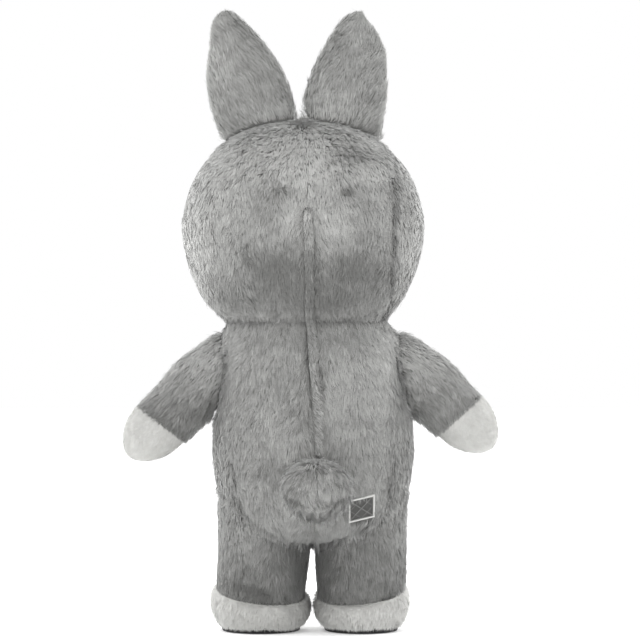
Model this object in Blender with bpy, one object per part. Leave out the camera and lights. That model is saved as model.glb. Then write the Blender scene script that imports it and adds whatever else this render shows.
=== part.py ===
"""Rabbit mascot costume: a one-piece fur suit, blown up by a fan, zipped shut and standing on its soles.

Metres, +Z up. The face looks along -Y, and the zip runs down the back, at +Y.
Each form of the suit is a loft: rings across an axis, from a short table. A panel is a wall of fur
cloth read from a form between its seam lines, and neighbours stay SEAM_GAP apart along a seam.
Angles on a form start at the middle of its back and grow towards its side.
"""

import math

import bmesh
import bpy
import numpy as np
from mathutils import Matrix, Vector

# Cloth: a backing with its pile lying on it, so a wall reaches from the lining to the fur's tips
FUR_WALL = 0.014
EAR_WALL = 0.012
ARM_WALL = 0.012
THIN_SHARE = 0.75
SEAM_GAP = 0.0003
GROOVE_DEPTH = 0.007
GROOVE_WIDTH = 0.022
SOLE_THICKNESS = 0.012

# Head and body: rows of height, centre x, half width, depth to the back, depth to the front
HEAD_RINGS = (
    (1.008, 0.011, 0.262, 0.226, 0.226),
    (1.027, 0.018, 0.279, 0.240, 0.242),
    (1.055, 0.023, 0.309, 0.266, 0.272),
    (1.110, 0.024, 0.344, 0.296, 0.308),
    (1.200, 0.024, 0.379, 0.328, 0.344),
    (1.309, 0.024, 0.394, 0.344, 0.360),
    (1.420, 0.024, 0.371, 0.326, 0.340),
    (1.500, 0.024, 0.330, 0.290, 0.300),
    (1.565, 0.026, 0.270, 0.236, 0.240),
    (1.612, 0.028, 0.196, 0.168, 0.170),
    (1.638, 0.030, 0.110, 0.092, 0.092),
    (1.645, 0.031, 0.003, 0.003, 0.003),
)
BODY_RINGS = (
    (1.008, 0.011, 0.262, 0.226, 0.226),
    (0.985, 0.006, 0.272, 0.234, 0.236),
    (0.930, 0.000, 0.290, 0.250, 0.254),
    (0.830, -0.005, 0.303, 0.268, 0.274),
    (0.720, -0.007, 0.316, 0.280, 0.288),
    (0.610, -0.008, 0.327, 0.288, 0.298),
    (0.530, -0.008, 0.323, 0.286, 0.296),
    (0.450, -0.008, 0.309, 0.272, 0.280),
    (0.395, -0.008, 0.292, 0.254, 0.260),
    (0.350, -0.007, 0.260, 0.224, 0.228),
    (0.318, -0.006, 0.212, 0.182, 0.184),
    (0.296, -0.006, 0.140, 0.120, 0.120),
    (0.286, -0.006, 0.004, 0.004, 0.004),
)
NECK_HEIGHT = 1.008

# Ears: rows of height, centre x, half width, half thickness
EAR_RINGS = {
    "left": (
        (1.520, 0.160, 0.110, 0.050),
        (1.565, 0.161, 0.116, 0.052),
        (1.642, 0.176, 0.133, 0.056),
        (1.718, 0.192, 0.139, 0.058),
        (1.795, 0.208, 0.130, 0.055),
        (1.872, 0.226, 0.102, 0.047),
        (1.930, 0.247, 0.076, 0.038),
        (1.970, 0.261, 0.051, 0.029),
        (1.992, 0.262, 0.029, 0.020),
        (2.000, 0.262, 0.004, 0.004),
    ),
    "right": (
        (1.520, -0.104, 0.118, 0.050),
        (1.565, -0.104, 0.122, 0.052),
        (1.642, -0.108, 0.128, 0.056),
        (1.718, -0.111, 0.137, 0.058),
        (1.795, -0.122, 0.126, 0.055),
        (1.872, -0.136, 0.106, 0.047),
        (1.930, -0.141, 0.078, 0.038),
        (1.968, -0.140, 0.050, 0.029),
        (1.990, -0.143, 0.029, 0.020),
        (1.998, -0.144, 0.004, 0.004),
    ),
}

# Heights between which an ear's root lies
EAR_ROOT = (1.525, 1.66)

# Arms: rows of distance along the arm, shift to its underside, radius
ARM_RINGS = (
    (-0.335, 0.040, 0.046),
    (-0.300, 0.027, 0.064),
    (-0.262, 0.016, 0.077),
    (-0.215, 0.006, 0.086),
    (-0.160, 0.002, 0.095),
    (-0.100, 0.001, 0.105),
    (-0.040, 0.000, 0.104),
    (0.020, 0.001, 0.099),
    (0.096, 0.001, 0.097),
    (0.140, 0.001, 0.097),
)
MITT_RINGS = (
    (-0.030, 0.001, 0.097),
    (0.000, 0.001, 0.097),
    (0.040, 0.001, 0.095),
    (0.076, 0.001, 0.086),
    (0.107, 0.001, 0.070),
    (0.133, 0.001, 0.048),
    (0.150, 0.001, 0.024),
    (0.155, 0.001, 0.003),
)
# Each arm: reference point, fall below the horizontal, way out, place and slant of the mitt seam
ARMS = {
    "left": {"x": 0.4125, "z": 0.743, "fall": 45.0, "out": 1.0, "seam": 0.096, "slant": -0.0125},
    "right": {"x": -0.4384, "z": 0.739, "fall": 43.7, "out": -1.0, "seam": 0.056, "slant": 0.0075},
}

# Legs: rows of height, lean to the middle of the foot, radius. They narrow inside the body
LEG_RINGS = (
    (0.080, 1.0, 0.143),
    (0.135, 1.0, 0.145),
    (0.190, 0.6, 0.149),
    (0.260, 0.1, 0.150),
    (0.395, 0.0, 0.150),
    (0.430, 0.0, 0.1455),
    (0.460, 0.0, 0.136),
    (0.500, 0.0, 0.131),
    (0.560, 0.0, 0.130),
)
LEG_X = {"left": 0.150, "right": -0.162}
LEG_ROOT_LOW = 0.22

# Feet: rows of spread from the ankle to the outline of the foot, height above the sole as a share, and
# girth as a share of that outline. They tuck in to a smaller sole
FOOT_PROFILE = (
    (0.00, 1.00, 1.000),
    (0.50, 0.95, 1.000),
    (0.88, 0.80, 1.000),
    (1.00, 0.55, 1.000),
    (1.00, 0.30, 0.955),
    (0.99, 0.12, 0.870),
    (0.98, 0.00, 0.770),
)
FOOT_X = {"left": 0.1604, "right": -0.1635}
FOOT_HALF_WIDTH = {"left": 0.1644, "right": 0.155}
FOOT_Y = -0.038
FOOT_HALF_LENGTH = 0.215
# Height of the ankle seam, and how it moves at the heel and on the outside of the leg
ANKLE_HEIGHT = 0.132
ANKLE_HEEL = -0.028
ANKLE_OUTSIDE = 0.014
# Edge of the sole: rows of height as a share of its thickness, way in from the outline
SOLE_PROFILE = (
    (0.00, 0.0040),
    (0.12, 0.0012),
    (0.35, 0.0000),
    (1.00, 0.0000),
)
SOLE_SIDES = 36

# Tail: rows of distance out of the back, half width, half height
TAIL_RINGS = (
    (-0.060, 0.068, 0.055),
    (0.000, 0.092, 0.076),
    (0.040, 0.107, 0.090),
    (0.078, 0.093, 0.079),
    (0.100, 0.058, 0.048),
    (0.107, 0.003, 0.003),
)
TAIL_CENTRE = (-0.019, 0.275, 0.478)
TAIL_ROOT_OUT = 0.04

# Seams of head and body
BACK_SEAM_REACH = 0.7
BACK_SEAM = (
    (0.286, -0.006),
    (0.400, -0.012),
    (0.500, -0.018),
    (0.600, -0.024),
    (0.700, -0.020),
    (0.820, -0.013),
    (0.930, -0.004),
    (1.008, 0.002),
    (1.200, 0.004),
    (1.357, 0.004),
    (1.500, 0.016),
    (1.645, 0.031),
)
CHEEK_OFFSET = 0.288
CHEEK_TIP_SINE = 0.997
CHEEK_LOW_SINE = 0.93
CHEEK_LOW_HEIGHT = 1.12
CHEEK_TIP_ABOVE = 1.32
FLANK_SEAM = (
    (0.286, 53.0),
    (0.540, 53.0),
    (0.600, 58.0),
    (0.660, 66.0),
    (0.720, 76.0),
    (0.765, 85.0),
    (0.780, 90.0),
    (1.008, 90.0),
)
FLANK_TOP = 0.765
FLANK_BOTTOM = 0.320

# Heights at which the head and the body are read
HEAD_HEIGHTS = (1.008, 1.030, 1.075, 1.150, 1.230, 1.309, 1.390, 1.460, 1.515, 1.538, 1.575, 1.605,
                1.625, 1.638, 1.645)
BODY_HEIGHTS = (1.008, 0.985, 0.940, 0.880, 0.820, 0.765, 0.710, 0.660, 0.600, 0.540, 0.480, 0.430,
                0.385, 0.350, 0.320, 0.300, 0.291, 0.286)

# Zip placket, from the back of the head to the seat
PLACKET_HALF = 0.0135
PLACKET_TOP = 1.357
PLACKET_BOTTOM = 0.585
PLACKET_SINK = 0.003
PLACKET_WALL = 0.010
SLOT_CLEARANCE = 0.0002
STEP = 0.0016

# Air inlet at the right hip
INLET_ANGLE = -32.0
INLET_HEIGHT = 0.4035
INLET_WIDTH = 0.092
INLET_TALL = 0.080
INLET_ROLL = 12.0
INLET_BINDING = 0.005
INLET_DEPTH = 0.010
INLET_SINK = 0.008
INLET_MESH = 0.002
INLET_REACH = 0.030

# Face: angle from the front, height, half width, half height, dome
FACE = {
    "eye_left": {"turn": 24.0, "height": 1.335, "half": (0.036, 0.048), "dome": 0.012},
    "eye_right": {"turn": -24.0, "height": 1.335, "half": (0.036, 0.048), "dome": 0.012},
    "nose": {"turn": 0.0, "height": 1.240, "half": (0.038, 0.026), "dome": 0.0225},
    "mouth_mesh": {"turn": 0.0, "height": 1.160, "half": (0.072, 0.022), "dome": 0.001},
}
PAD_SEAT = 0.0009
PAD_EDGE = 0.002
PAD_RINGS = (0.25, 0.65, 1.0)
PAD_SIDES = 16

# Largest folds: the two ends of a trough, its depth and its half width
FOLDS = (
    ((0.240, 0.12, 0.168), (0.140, 0.15, 0.132), 0.012, 0.017),
    ((-0.240, 0.13, 0.175), (-0.170, 0.15, 0.158), 0.007, 0.016),
    ((0.150, -0.15, 0.225), (0.250, -0.11, 0.205), 0.010, 0.017),
    ((-0.110, -0.14, 0.230), (-0.210, -0.14, 0.215), 0.010, 0.017),
    ((0.330, 0.07, 0.735), (0.395, 0.09, 0.800), 0.009, 0.018),
    ((-0.345, 0.08, 0.730), (-0.400, 0.09, 0.790), 0.007, 0.018),
    ((0.330, -0.09, 0.735), (0.395, -0.10, 0.800), 0.009, 0.018),
    ((-0.345, -0.09, 0.730), (-0.400, -0.10, 0.790), 0.007, 0.018),
)

# Fit of a limb in its hole: how much wider the hole is, and how far its cutter runs on inside
FIT_GROW = 0.0005
SIDES = {"left": 1.0, "right": -1.0}
HALF_TURN = math.pi
QUARTER = math.pi / 2
SAMPLES = 400
NUDGE = 1e-3
ROOT_STEPS = 24
# How much closer together a panel's columns stand at its edges
EDGE_CROWDING = 0.07
# Sharpest angle that is shaded smooth, in degrees
SMOOTH_ANGLE = 50.0
SIDE_SEAMS = (False, False, True, True)
NO_VALLEYS = (False, False, False, False)

# Colour, metallic and roughness of each finish
FINISHES = {
    "grey_fur": ((0.36, 0.36, 0.345), 0.0, 0.95),
    "white_plush": ((0.78, 0.78, 0.76), 0.0, 0.95),
    "black_sole": ((0.015, 0.015, 0.016), 0.0, 0.80),
    "pale_binding": ((0.70, 0.70, 0.68), 0.0, 0.75),
    "dark_mesh": ((0.07, 0.07, 0.075), 0.0, 0.70),
    "dark_button": ((0.012, 0.011, 0.011), 0.0, 0.25),
}


def smooth_rows(table):
    """Reads the rows of a table closely, along a Catmull-Rom curve."""
    rows = np.array(table, dtype=float)
    padded = np.vstack([2 * rows[0] - rows[1], rows, 2 * rows[-1] - rows[-2]])
    spans = len(rows) - 1
    result = []
    for sample in np.linspace(0.0, spans, SAMPLES):
        i = min(int(sample), spans - 1)
        t = sample - i
        p0, p1, p2, p3 = padded[i:i + 4]
        result.append(0.5 * (2 * p1 + (p2 - p0) * t + (2 * p0 - 5 * p1 + 4 * p2 - p3) * t ** 2
                             + (3 * p1 - p0 - 3 * p2 + p3) * t ** 3))
    return np.array(result)


class Loft:
    """A soft form: ellipses across an axis. A row holds place, centre, half width, back and front."""

    def __init__(self, rows, origin=(0.0, 0.0, 0.0), axis=(0.0, 0.0, 1.0), back=(0.0, 1.0, 0.0)):
        curve = smooth_rows(sorted(rows))
        self.place, self.centre, self.half, self.deep, self.fore = curve.T
        steps = np.hypot(np.diff(self.place), np.diff(self.half))
        self.share = np.concatenate([[0.0], np.cumsum(steps)]) / steps.sum()
        self.origin = np.array(origin, dtype=float)
        self.axis = np.array(axis, dtype=float)
        self.back = np.array(back, dtype=float)
        self.side = np.cross(self.back, self.axis)

    def share_at(self, place):
        """Share of the form's profile at a place on its axis."""
        return float(np.interp(place, self.place, self.share))

    def ring(self, share):
        """Place, centre, half width, back depth and front depth at a share of the profile."""
        columns = (self.place, self.centre, self.half, self.deep, self.fore)
        return [float(np.interp(share, self.share, column)) for column in columns]

    def at(self, angle, share):
        """Point of the form at an angle from its back and a share of its profile."""
        place, centre, half, deep, fore = self.ring(share)
        depth = deep if math.cos(angle) > 0.0 else fore
        return (self.origin + self.axis * place + self.side * (centre + half * math.sin(angle))
                + self.back * depth * math.cos(angle))

    def normal(self, angle, share):
        """Unit normal of the form, pointing out."""
        across = self.at(angle + NUDGE, share) - self.at(angle - NUDGE, share)
        along = self.at(angle, min(share + NUDGE, 1.0)) - self.at(angle, max(share - NUDGE, 0.0))
        result = np.cross(along, across)
        return result / np.linalg.norm(result)

    def wall(self, share, normal, wanted):
        """Thickness of the cloth at a share of the profile, less where the form is too thin for it."""
        _, _, half, deep, fore = self.ring(share)
        depth = min(deep, fore)
        room = min(depth, depth ** 2 / half)
        leaning = math.sqrt(max(1e-6, 1.0 - float(normal @ self.axis) ** 2))
        return min(wanted, THIN_SHARE * room / leaning)

    def holds(self, point, inset):
        """True when a point lies inside the form made smaller by inset."""
        local = np.array(point) - self.origin
        place = float(local @ self.axis)
        if not self.place[0] + inset < place < self.place[-1] - inset:
            return False
        _, centre, half, deep, fore = self.ring(self.share_at(place))
        across = float(local @ self.side) - centre
        along = float(local @ self.back)
        depth = (deep if along > 0.0 else fore) - inset
        half -= inset
        return min(half, depth) > 0.0 and (across / half) ** 2 + (along / depth) ** 2 < 1.0


class Foot:
    """The white upper of a foot: it spreads from the ankle ring to the outline of the sole."""

    def __init__(self, side, leg):
        self.side = side
        self.leg = leg
        self.spread, self.height, self.girth = smooth_rows(FOOT_PROFILE).T
        self.share = np.linspace(0.0, 1.0, SAMPLES)

    def at(self, angle, share):
        """Point of the upper at an angle from the heel and a share of the way to the sole."""
        sine, cosine = math.sin(angle), math.cos(angle)
        ankle = self.leg.at(angle, ankle_share(self.leg, self.side, angle))
        outline = np.array([FOOT_X[self.side] + FOOT_HALF_WIDTH[self.side] * sine,
                            FOOT_Y + FOOT_HALF_LENGTH * cosine])
        spread = float(np.interp(share, self.share, self.spread))
        height = float(np.interp(share, self.share, self.height))
        girth = float(np.interp(share, self.share, self.girth))
        middle = np.array([FOOT_X[self.side], FOOT_Y])
        flat = middle + (ankle[:2] * (1.0 - spread) + outline * spread - middle) * girth
        base = SOLE_THICKNESS + SEAM_GAP / 2
        return np.array([*flat, base + (ankle[2] - base) * height])

    def normal(self, angle, share):
        """Unit normal of the upper, pointing out."""
        across = self.at(angle + NUDGE, share) - self.at(angle - NUDGE, share)
        along = self.at(angle, min(share + NUDGE, 1.0)) - self.at(angle, max(share - NUDGE, 0.0))
        result = np.cross(across, along)
        return result / np.linalg.norm(result)

    def wall(self, share, normal, wanted):
        """Thickness of the cloth, the same all over."""
        return wanted


def ankle_share(leg, side, angle):
    """Share of a leg's profile at the ankle seam, which drops to the heel and rises on the outside."""
    rise = ANKLE_HEEL * math.cos(angle) + ANKLE_OUTSIDE * SIDES[side] * math.sin(angle)
    return leg.share_at(ANKLE_HEIGHT + rise)


def round_rows(rows):
    """Rows of place, centre and radius as rows of a loft."""
    return [(place, centre, radius, radius, radius) for place, centre, radius in rows]


def make_forms():
    """The soft forms of the suit, by name."""
    forms = {"head": Loft(HEAD_RINGS), "body": Loft(BODY_RINGS)}
    for side, arm in ARMS.items():
        fall = math.radians(arm["fall"])
        axis = np.array([arm["out"] * math.cos(fall), 0.0, -math.sin(fall)])
        origin = np.array([arm["x"], 0.0, arm["z"]])
        # The side of a left arm points to its underside, and that of a right arm to its top
        shift = arm["out"]
        sleeve = [(place, shift * centre, radius) for place, centre, radius in ARM_RINGS]
        mitt = [(place, shift * centre, radius) for place, centre, radius in MITT_RINGS]
        forms["arm_" + side] = Loft(round_rows(sleeve), origin, axis)
        forms["mitt_" + side] = Loft(round_rows(mitt), origin + axis * arm["seam"], axis)
    for side, rows in EAR_RINGS.items():
        forms["ear_" + side] = Loft([(z, x, half, thick, thick) for z, x, half, thick in rows])
    for side, x in LEG_X.items():
        leg = [(z, x + lean * (FOOT_X[side] - x), radius) for z, lean, radius in LEG_RINGS]
        forms["leg_" + side] = Loft(round_rows(leg))
        forms["foot_" + side] = Foot(side, forms["leg_" + side])
    tail = [(out, 0.0, half, tall, tall) for out, half, tall in TAIL_RINGS]
    forms["tail"] = Loft(tail, TAIL_CENTRE, (0.0, 1.0, 0.0), (0.0, 0.0, 1.0))
    return forms


def fold_depth(point):
    """How far the largest folds push a point of the cloth in."""
    depth = 0.0
    for start, end, deep, width in FOLDS:
        start, span = np.array(start), np.array(end) - np.array(start)
        along = min(max((point - start) @ span / (span @ span), 0.0), 1.0)
        distance = np.linalg.norm(point - start - along * span)
        depth = max(depth, deep * math.exp(-(distance / width) ** 2))
    return depth


def run_lengths(points):
    """Distance of each point of a grid from the grid's first row and from its last."""
    steps = np.linalg.norm(np.diff(points, axis=0), axis=2)
    run = np.vstack([np.zeros(points.shape[1]), np.cumsum(steps, axis=0)])
    return run, run[-1] - run


def draw_in(points):
    """Moves the first and last row of a grid in by half the seam gap."""
    moved = points.copy()
    for edge, inner in ((0, 1), (-1, -2)):
        along = points[inner] - points[edge]
        moved[edge] += along / np.linalg.norm(along, axis=1)[:, None] * SEAM_GAP / 2
    return moved


def cloth_grids(form, where, rows, cols, wall, grooved, folded):
    """Outer and inner points of a panel.

    where gives the angle and share of a row and a column. grooved says which of the first row, last
    row, first column and last column lie in the valley of a seam, and folded whether folds reach it.
    """
    places = [[where(row, col) for col in cols] for row in rows]
    points = np.array([[form.at(*place) for place in line] for line in places])
    normals = np.array([[form.normal(*place) for place in line] for line in places])
    first, last = run_lengths(points)
    low, high = run_lengths(points.transpose(1, 0, 2))
    far = np.ones(points.shape[:2])
    for wanted, distance in zip(grooved, (first, last, low.T, high.T)):
        if wanted:
            far = np.minimum(far, distance)
    sink = GROOVE_DEPTH * np.exp(-(far / GROOVE_WIDTH) ** 2)
    if folded:
        sink = np.maximum(sink, [[fold_depth(point) for point in line] for line in points])
    drawn = draw_in(draw_in(points).transpose(1, 0, 2)).transpose(1, 0, 2)
    outer = drawn - normals * sink[..., None]
    walls = [[form.wall(place[1], normal, wall) for place, normal in zip(line, way)]
             for line, way in zip(places, normals)]
    return outer, outer - normals * np.array(walls)[..., None]


def closed_wall(outer, inner):
    """A closed mesh between two grids of points."""
    rows, cols = outer.shape[:2]
    mesh = bmesh.new()
    front = [[mesh.verts.new(outer[i, j]) for j in range(cols)] for i in range(rows)]
    back = [[mesh.verts.new(inner[i, j]) for j in range(cols)] for i in range(rows)]
    # Each quad is split along the diagonal that its neighbours and cutters use, so that twisted ones agree
    for i in range(rows - 1):
        for j in range(cols - 1):
            for grid in (front, back):
                mesh.faces.new((grid[i][j], grid[i][j + 1], grid[i + 1][j + 1]))
                mesh.faces.new((grid[i][j], grid[i + 1][j + 1], grid[i + 1][j]))
    edges = [[(i, edge) for i in range(rows)] for edge in (0, cols - 1)]
    edges += [[(edge, j) for j in range(cols)] for edge in (0, rows - 1)]
    for edge in edges:
        for (i, j), (k, m) in zip(edge, edge[1:]):
            mesh.faces.new((front[i][j], back[i][j], back[k][m]))
            mesh.faces.new((front[i][j], back[k][m], front[k][m]))
    bmesh.ops.recalc_face_normals(mesh, faces=mesh.faces)
    return mesh


def closed_rings(rings):
    """A closed mesh through rings of points, with a cap at each end."""
    mesh = bmesh.new()
    lines = [[mesh.verts.new(point) for point in ring] for ring in rings]
    for line, after in zip(lines, lines[1:]):
        for j in range(len(line)):
            k = (j + 1) % len(line)
            mesh.faces.new((line[j], line[k], after[k]))
            mesh.faces.new((line[j], after[k], after[j]))
    mesh.faces.new(lines[0])
    mesh.faces.new(list(reversed(lines[-1])))
    bmesh.ops.recalc_face_normals(mesh, faces=mesh.faces)
    return mesh


def link_mesh(name, mesh, collection):
    """Links a bmesh as a named object in a collection."""
    data = bpy.data.meshes.new(name)
    mesh.to_mesh(data)
    mesh.free()
    piece = bpy.data.objects.new(name, data)
    bpy.data.collections[collection].objects.link(piece)
    return piece


def finish_piece(piece, finish, smooth=True):
    """Gives a piece its material and its shading."""
    piece.data.materials.append(bpy.data.materials[finish])
    if smooth:
        piece.data.shade_smooth()
        piece.data.set_sharp_from_angle(angle=math.radians(SMOOTH_ANGLE))
    return piece


def place_cutter(name, mesh):
    """Links a closed bmesh as a hidden cutter."""
    cutter = link_mesh(name, mesh, "cutters")
    cutter.display_type = "WIRE"
    cutter.hide_render = True
    return cutter


def cut(piece, cutter):
    """Cuts a hole in a piece."""
    modifier = piece.modifiers.new(cutter.name, "BOOLEAN")
    modifier.operation = "DIFFERENCE"
    modifier.solver = "EXACT"
    modifier.object = cutter


def panel(name, form, where, rows, cols, wall=FUR_WALL, finish="grey_fur", grooved=NO_VALLEYS):
    """One sewn panel: a wall of cloth with its outside on the form."""
    outer, inner = cloth_grids(form, where, rows, cols, wall, grooved, finish == "grey_fur")
    return finish_piece(link_mesh(name, closed_wall(outer, inner), "rabbit_costume"), finish)


def even(count):
    """Shares of a length in equal steps."""
    return list(np.linspace(0.0, 1.0, count + 1))


def closer_at_edges(count):
    """Shares of a width in steps that are closer together at its edges."""
    return [share - EDGE_CROWDING * math.sin(2.0 * math.pi * share) for share in even(count)]


def between(low, high):
    """Panel map between two seam angles that vary along the form."""
    def where(row, col):
        return low(row) + (high(row) - low(row)) * col, row
    return where


def along_tube(first, last, root, end):
    """Panel map round a tube from one angle to another, and along it from its root to its end."""
    def where(row, col):
        angle = first + (last - first) * col
        return angle, root(angle) + (end(angle) - root(angle)) * row
    return where


def back_seam_angle(form, share, offset):
    """Angle of a line at an offset from the centre-back seam."""
    height, centre, half = form.ring(share)[:3]
    heights, places = np.array(BACK_SEAM).T
    sine = (float(np.interp(height, heights, places)) + offset - centre) / half
    return math.asin(max(-BACK_SEAM_REACH, min(BACK_SEAM_REACH, sine)))


def slot_half(height):
    """Half width of the slot that the two back panels leave for the placket."""
    inside = PLACKET_BOTTOM - SEAM_GAP < height < PLACKET_TOP + SEAM_GAP
    return PLACKET_HALF + SLOT_CLEARANCE if inside else 0.0


def slot_rows(form, heights):
    """Shares of a form's profile at heights, with a step at each end of the placket's slot."""
    result = list(heights)
    for height in (PLACKET_TOP, PLACKET_BOTTOM):
        if form.place[0] < height < form.place[-1]:
            result += [height, height + math.copysign(STEP, height - NECK_HEIGHT)]
    return sorted(form.share_at(height) for height in result)


def cheek_angle(form, share):
    """Angle of the seam between the back of the head and the cheek."""
    height, _, half = form.ring(share)[:3]
    sine = min(CHEEK_OFFSET / half, CHEEK_TIP_SINE)
    if height < CHEEK_LOW_HEIGHT:
        sine = min(sine, CHEEK_LOW_SINE)
    return math.asin(sine)


def flank_angle(form, share):
    """Angle of the seam between the back of the body and its side."""
    heights, angles = np.array(FLANK_SEAM).T
    return math.radians(float(np.interp(form.ring(share)[0], heights, angles)))


def build_head(forms):
    """Back, side and front panels of the head."""
    head = forms["head"]
    upper = head.place > CHEEK_TIP_ABOVE
    tip_half = CHEEK_OFFSET / CHEEK_TIP_SINE
    tip = float(np.interp(-tip_half, -head.half[upper], head.share[upper]))
    above = head.share_at(head.ring(tip)[0] + STEP)

    def seam(share):
        return cheek_angle(head, share) if share <= tip else QUARTER

    heights = slot_rows(head, HEAD_HEIGHTS)
    rows = sorted(heights + [tip, above])
    plain = sorted([head.share_at(height) for height in HEAD_HEIGHTS] + [tip, above])
    cheek_rows = [share for share in plain if share <= tip]
    for side, sign in SIDES.items():
        back = between(lambda s, k=sign: back_seam_angle(head, s, k * slot_half(head.ring(s)[0])),
                       lambda s, k=sign: k * seam(s))
        panel("head_back_" + side, head, back, rows, closer_at_edges(6), grooved=SIDE_SEAMS)
        cheek = between(lambda s, k=sign: k * seam(s), lambda s, k=sign: k * (HALF_TURN - seam(s)))
        panel("head_side_" + side, head, cheek, cheek_rows, closer_at_edges(5), grooved=SIDE_SEAMS)
    front = between(lambda s: HALF_TURN - seam(s), lambda s: HALF_TURN + seam(s))
    panel("head_front", head, front, plain, closer_at_edges(10), grooved=SIDE_SEAMS)


def build_body(forms):
    """Back, side and front panels of the body."""
    body = forms["body"]

    def seam(share):
        return flank_angle(body, share)

    plain = sorted(body.share_at(height) for height in BODY_HEIGHTS)
    rows = slot_rows(body, BODY_HEIGHTS)
    low, high = body.share_at(FLANK_BOTTOM), body.share_at(FLANK_TOP)
    flank_rows = [share for share in plain if low - 1e-6 <= share <= high + 1e-6]
    for side, sign in SIDES.items():
        back = between(lambda s, k=sign: back_seam_angle(body, s, k * slot_half(body.ring(s)[0])),
                       lambda s, k=sign: k * seam(s))
        panel("body_back_" + side, body, back, rows, closer_at_edges(6), grooved=SIDE_SEAMS)
        flank = between(lambda s, k=sign: k * seam(s), lambda s, k=sign: k * (HALF_TURN - seam(s)))
        panel("body_side_" + side, body, flank, flank_rows, closer_at_edges(4), grooved=SIDE_SEAMS)
    front = between(lambda s: HALF_TURN - seam(s), lambda s: HALF_TURN + seam(s))
    panel("body_front", body, front, plain, closer_at_edges(10), grooved=SIDE_SEAMS)


def root_finder(limb, carrier, inside, outside):
    """A function of the angle: where a limb's outer wall comes in past its carrier's wall."""
    def root(angle):
        near, far = inside, outside
        for _ in range(ROOT_STEPS):
            middle = (near + far) / 2
            if carrier.holds(limb.at(angle, middle), FUR_WALL):
                near = middle
            else:
                far = middle
        return near
    return root


def limb_cutter(name, limb, turns, root, end, rows, inside):
    """The outside of a limb, grown by the fit and run on past its root, as a cutter."""
    rings = [[limb.at(angle, inside) + limb.normal(angle, inside) * FIT_GROW for angle in turns]]
    for row in rows:
        ring = []
        for angle in turns:
            share = root(angle) + (end(angle) - root(angle)) * row
            ring.append(limb.at(angle, share) + limb.normal(angle, share) * FIT_GROW)
        rings.append(ring)
    return place_cutter(name, closed_rings(rings))


def halves(cols):
    """First and last angle of the back half and the front half of a tube, and all its angles."""
    back, front = (-QUARTER, QUARTER), (QUARTER, QUARTER + HALF_TURN)
    turns = []
    for first, last in (back, front):
        turns += [first + (last - first) * col for col in cols[:-1]]
    return {"back": back, "front": front}, turns


def build_limb(name, form, carrier, names, finish, wall, steps, inside, outside, end):
    """The two halves of a tube that is sewn into its carrier, and the cutter of its hole."""
    root = root_finder(form, carrier, inside, outside)
    cols = closer_at_edges(steps[1])
    rows = even(steps[0])
    spans, turns = halves(cols)
    for half, (first, last) in spans.items():
        where = along_tube(first, last, root, end)
        panel(names[half], form, where, rows, cols, wall, finish)
    return limb_cutter(name, form, turns, root, end, rows, inside)


def constant(value):
    """A function that gives one value for every angle."""
    return lambda angle: value


def build_ears(forms):
    """The ears, sewn into the crown."""
    for side in SIDES:
        ear = forms["ear_" + side]
        names = {"back": "ear_" + side + "_back", "front": "ear_" + side + "_front"}
        cutter = build_limb("ear_hole_" + side, ear, forms["head"], names, "grey_fur", EAR_WALL, (9, 6),
                            ear.share_at(EAR_ROOT[0]), ear.share_at(EAR_ROOT[1]), constant(1.0))
        for name in ("head_back_left", "head_back_right", "head_front"):
            cut(bpy.data.objects[name], cutter)


def seam_share(form, place, slant):
    """Share of a tube's profile at a slanted seam, as a function of the angle."""
    return lambda angle: form.share_at(place + slant * math.sin(angle))


def build_arms(forms):
    """The sleeves, sewn into their armholes, and the mitts on them."""
    for side, arm in ARMS.items():
        sleeve, mitt = forms["arm_" + side], forms["mitt_" + side]
        names = {"back": "sleeve_" + side + "_back", "front": "sleeve_" + side + "_front"}
        end = seam_share(sleeve, arm["seam"], arm["slant"])
        cutter = build_limb("arm_hole_" + side, sleeve, forms["body"], names, "grey_fur", ARM_WALL,
                            (8, 6), 0.0, sleeve.share_at(0.0), end)
        for name in ("body_back_" + side, "body_side_" + side, "body_front"):
            cut(bpy.data.objects[name], cutter)
        cols = closer_at_edges(6)
        start = seam_share(mitt, 0.0, arm["slant"])
        for half, (first, last) in halves(cols)[0].items():
            name = "mitt_" + side + "_" + {"back": "back", "front": "palm"}[half]
            panel(name, mitt, along_tube(first, last, start, constant(1.0)), even(6), cols, ARM_WALL,
                  "white_plush")


def build_legs(forms):
    """The legs, sewn into the bottom of the body, and the feet under them."""
    for side in SIDES:
        leg, foot = forms["leg_" + side], forms["foot_" + side]
        names = {"back": "leg_" + side + "_back", "front": "leg_" + side + "_front"}

        def ankle(angle, form=leg, where=side):
            return ankle_share(form, where, angle)

        cutter = build_limb("leg_hole_" + side, leg, forms["body"], names, "grey_fur", FUR_WALL, (7, 6),
                            1.0, leg.share_at(LEG_ROOT_LOW), ankle)
        for name in ("body_back_left", "body_back_right", "body_side_" + side, "body_front"):
            cut(bpy.data.objects[name], cutter)
        cols = closer_at_edges(6)
        for half, (first, last) in halves(cols)[0].items():
            name = "foot_" + side + "_" + {"back": "heel", "front": "vamp"}[half]
            panel(name, foot, along_tube(first, last, constant(0.0), constant(1.0)), even(6), cols,
                  FUR_WALL, "white_plush")
        build_sole(side, foot)


def build_sole(side, foot):
    """The flat black sole, as wide as the lower edge of the upper."""
    outline = np.array([foot.at(2.0 * math.pi * i / SOLE_SIDES, 1.0)[:2] for i in range(SOLE_SIDES)])
    ways = outline - outline.mean(axis=0)
    ways /= np.linalg.norm(ways, axis=1)[:, None]
    rings = []
    for share, inset in SOLE_PROFILE:
        height = share * (SOLE_THICKNESS - SEAM_GAP / 2)
        rings.append([(*point, height) for point in outline - ways * inset])
    finish_piece(link_mesh("sole_" + side, closed_rings(rings), "rabbit_costume"), "black_sole")


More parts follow.
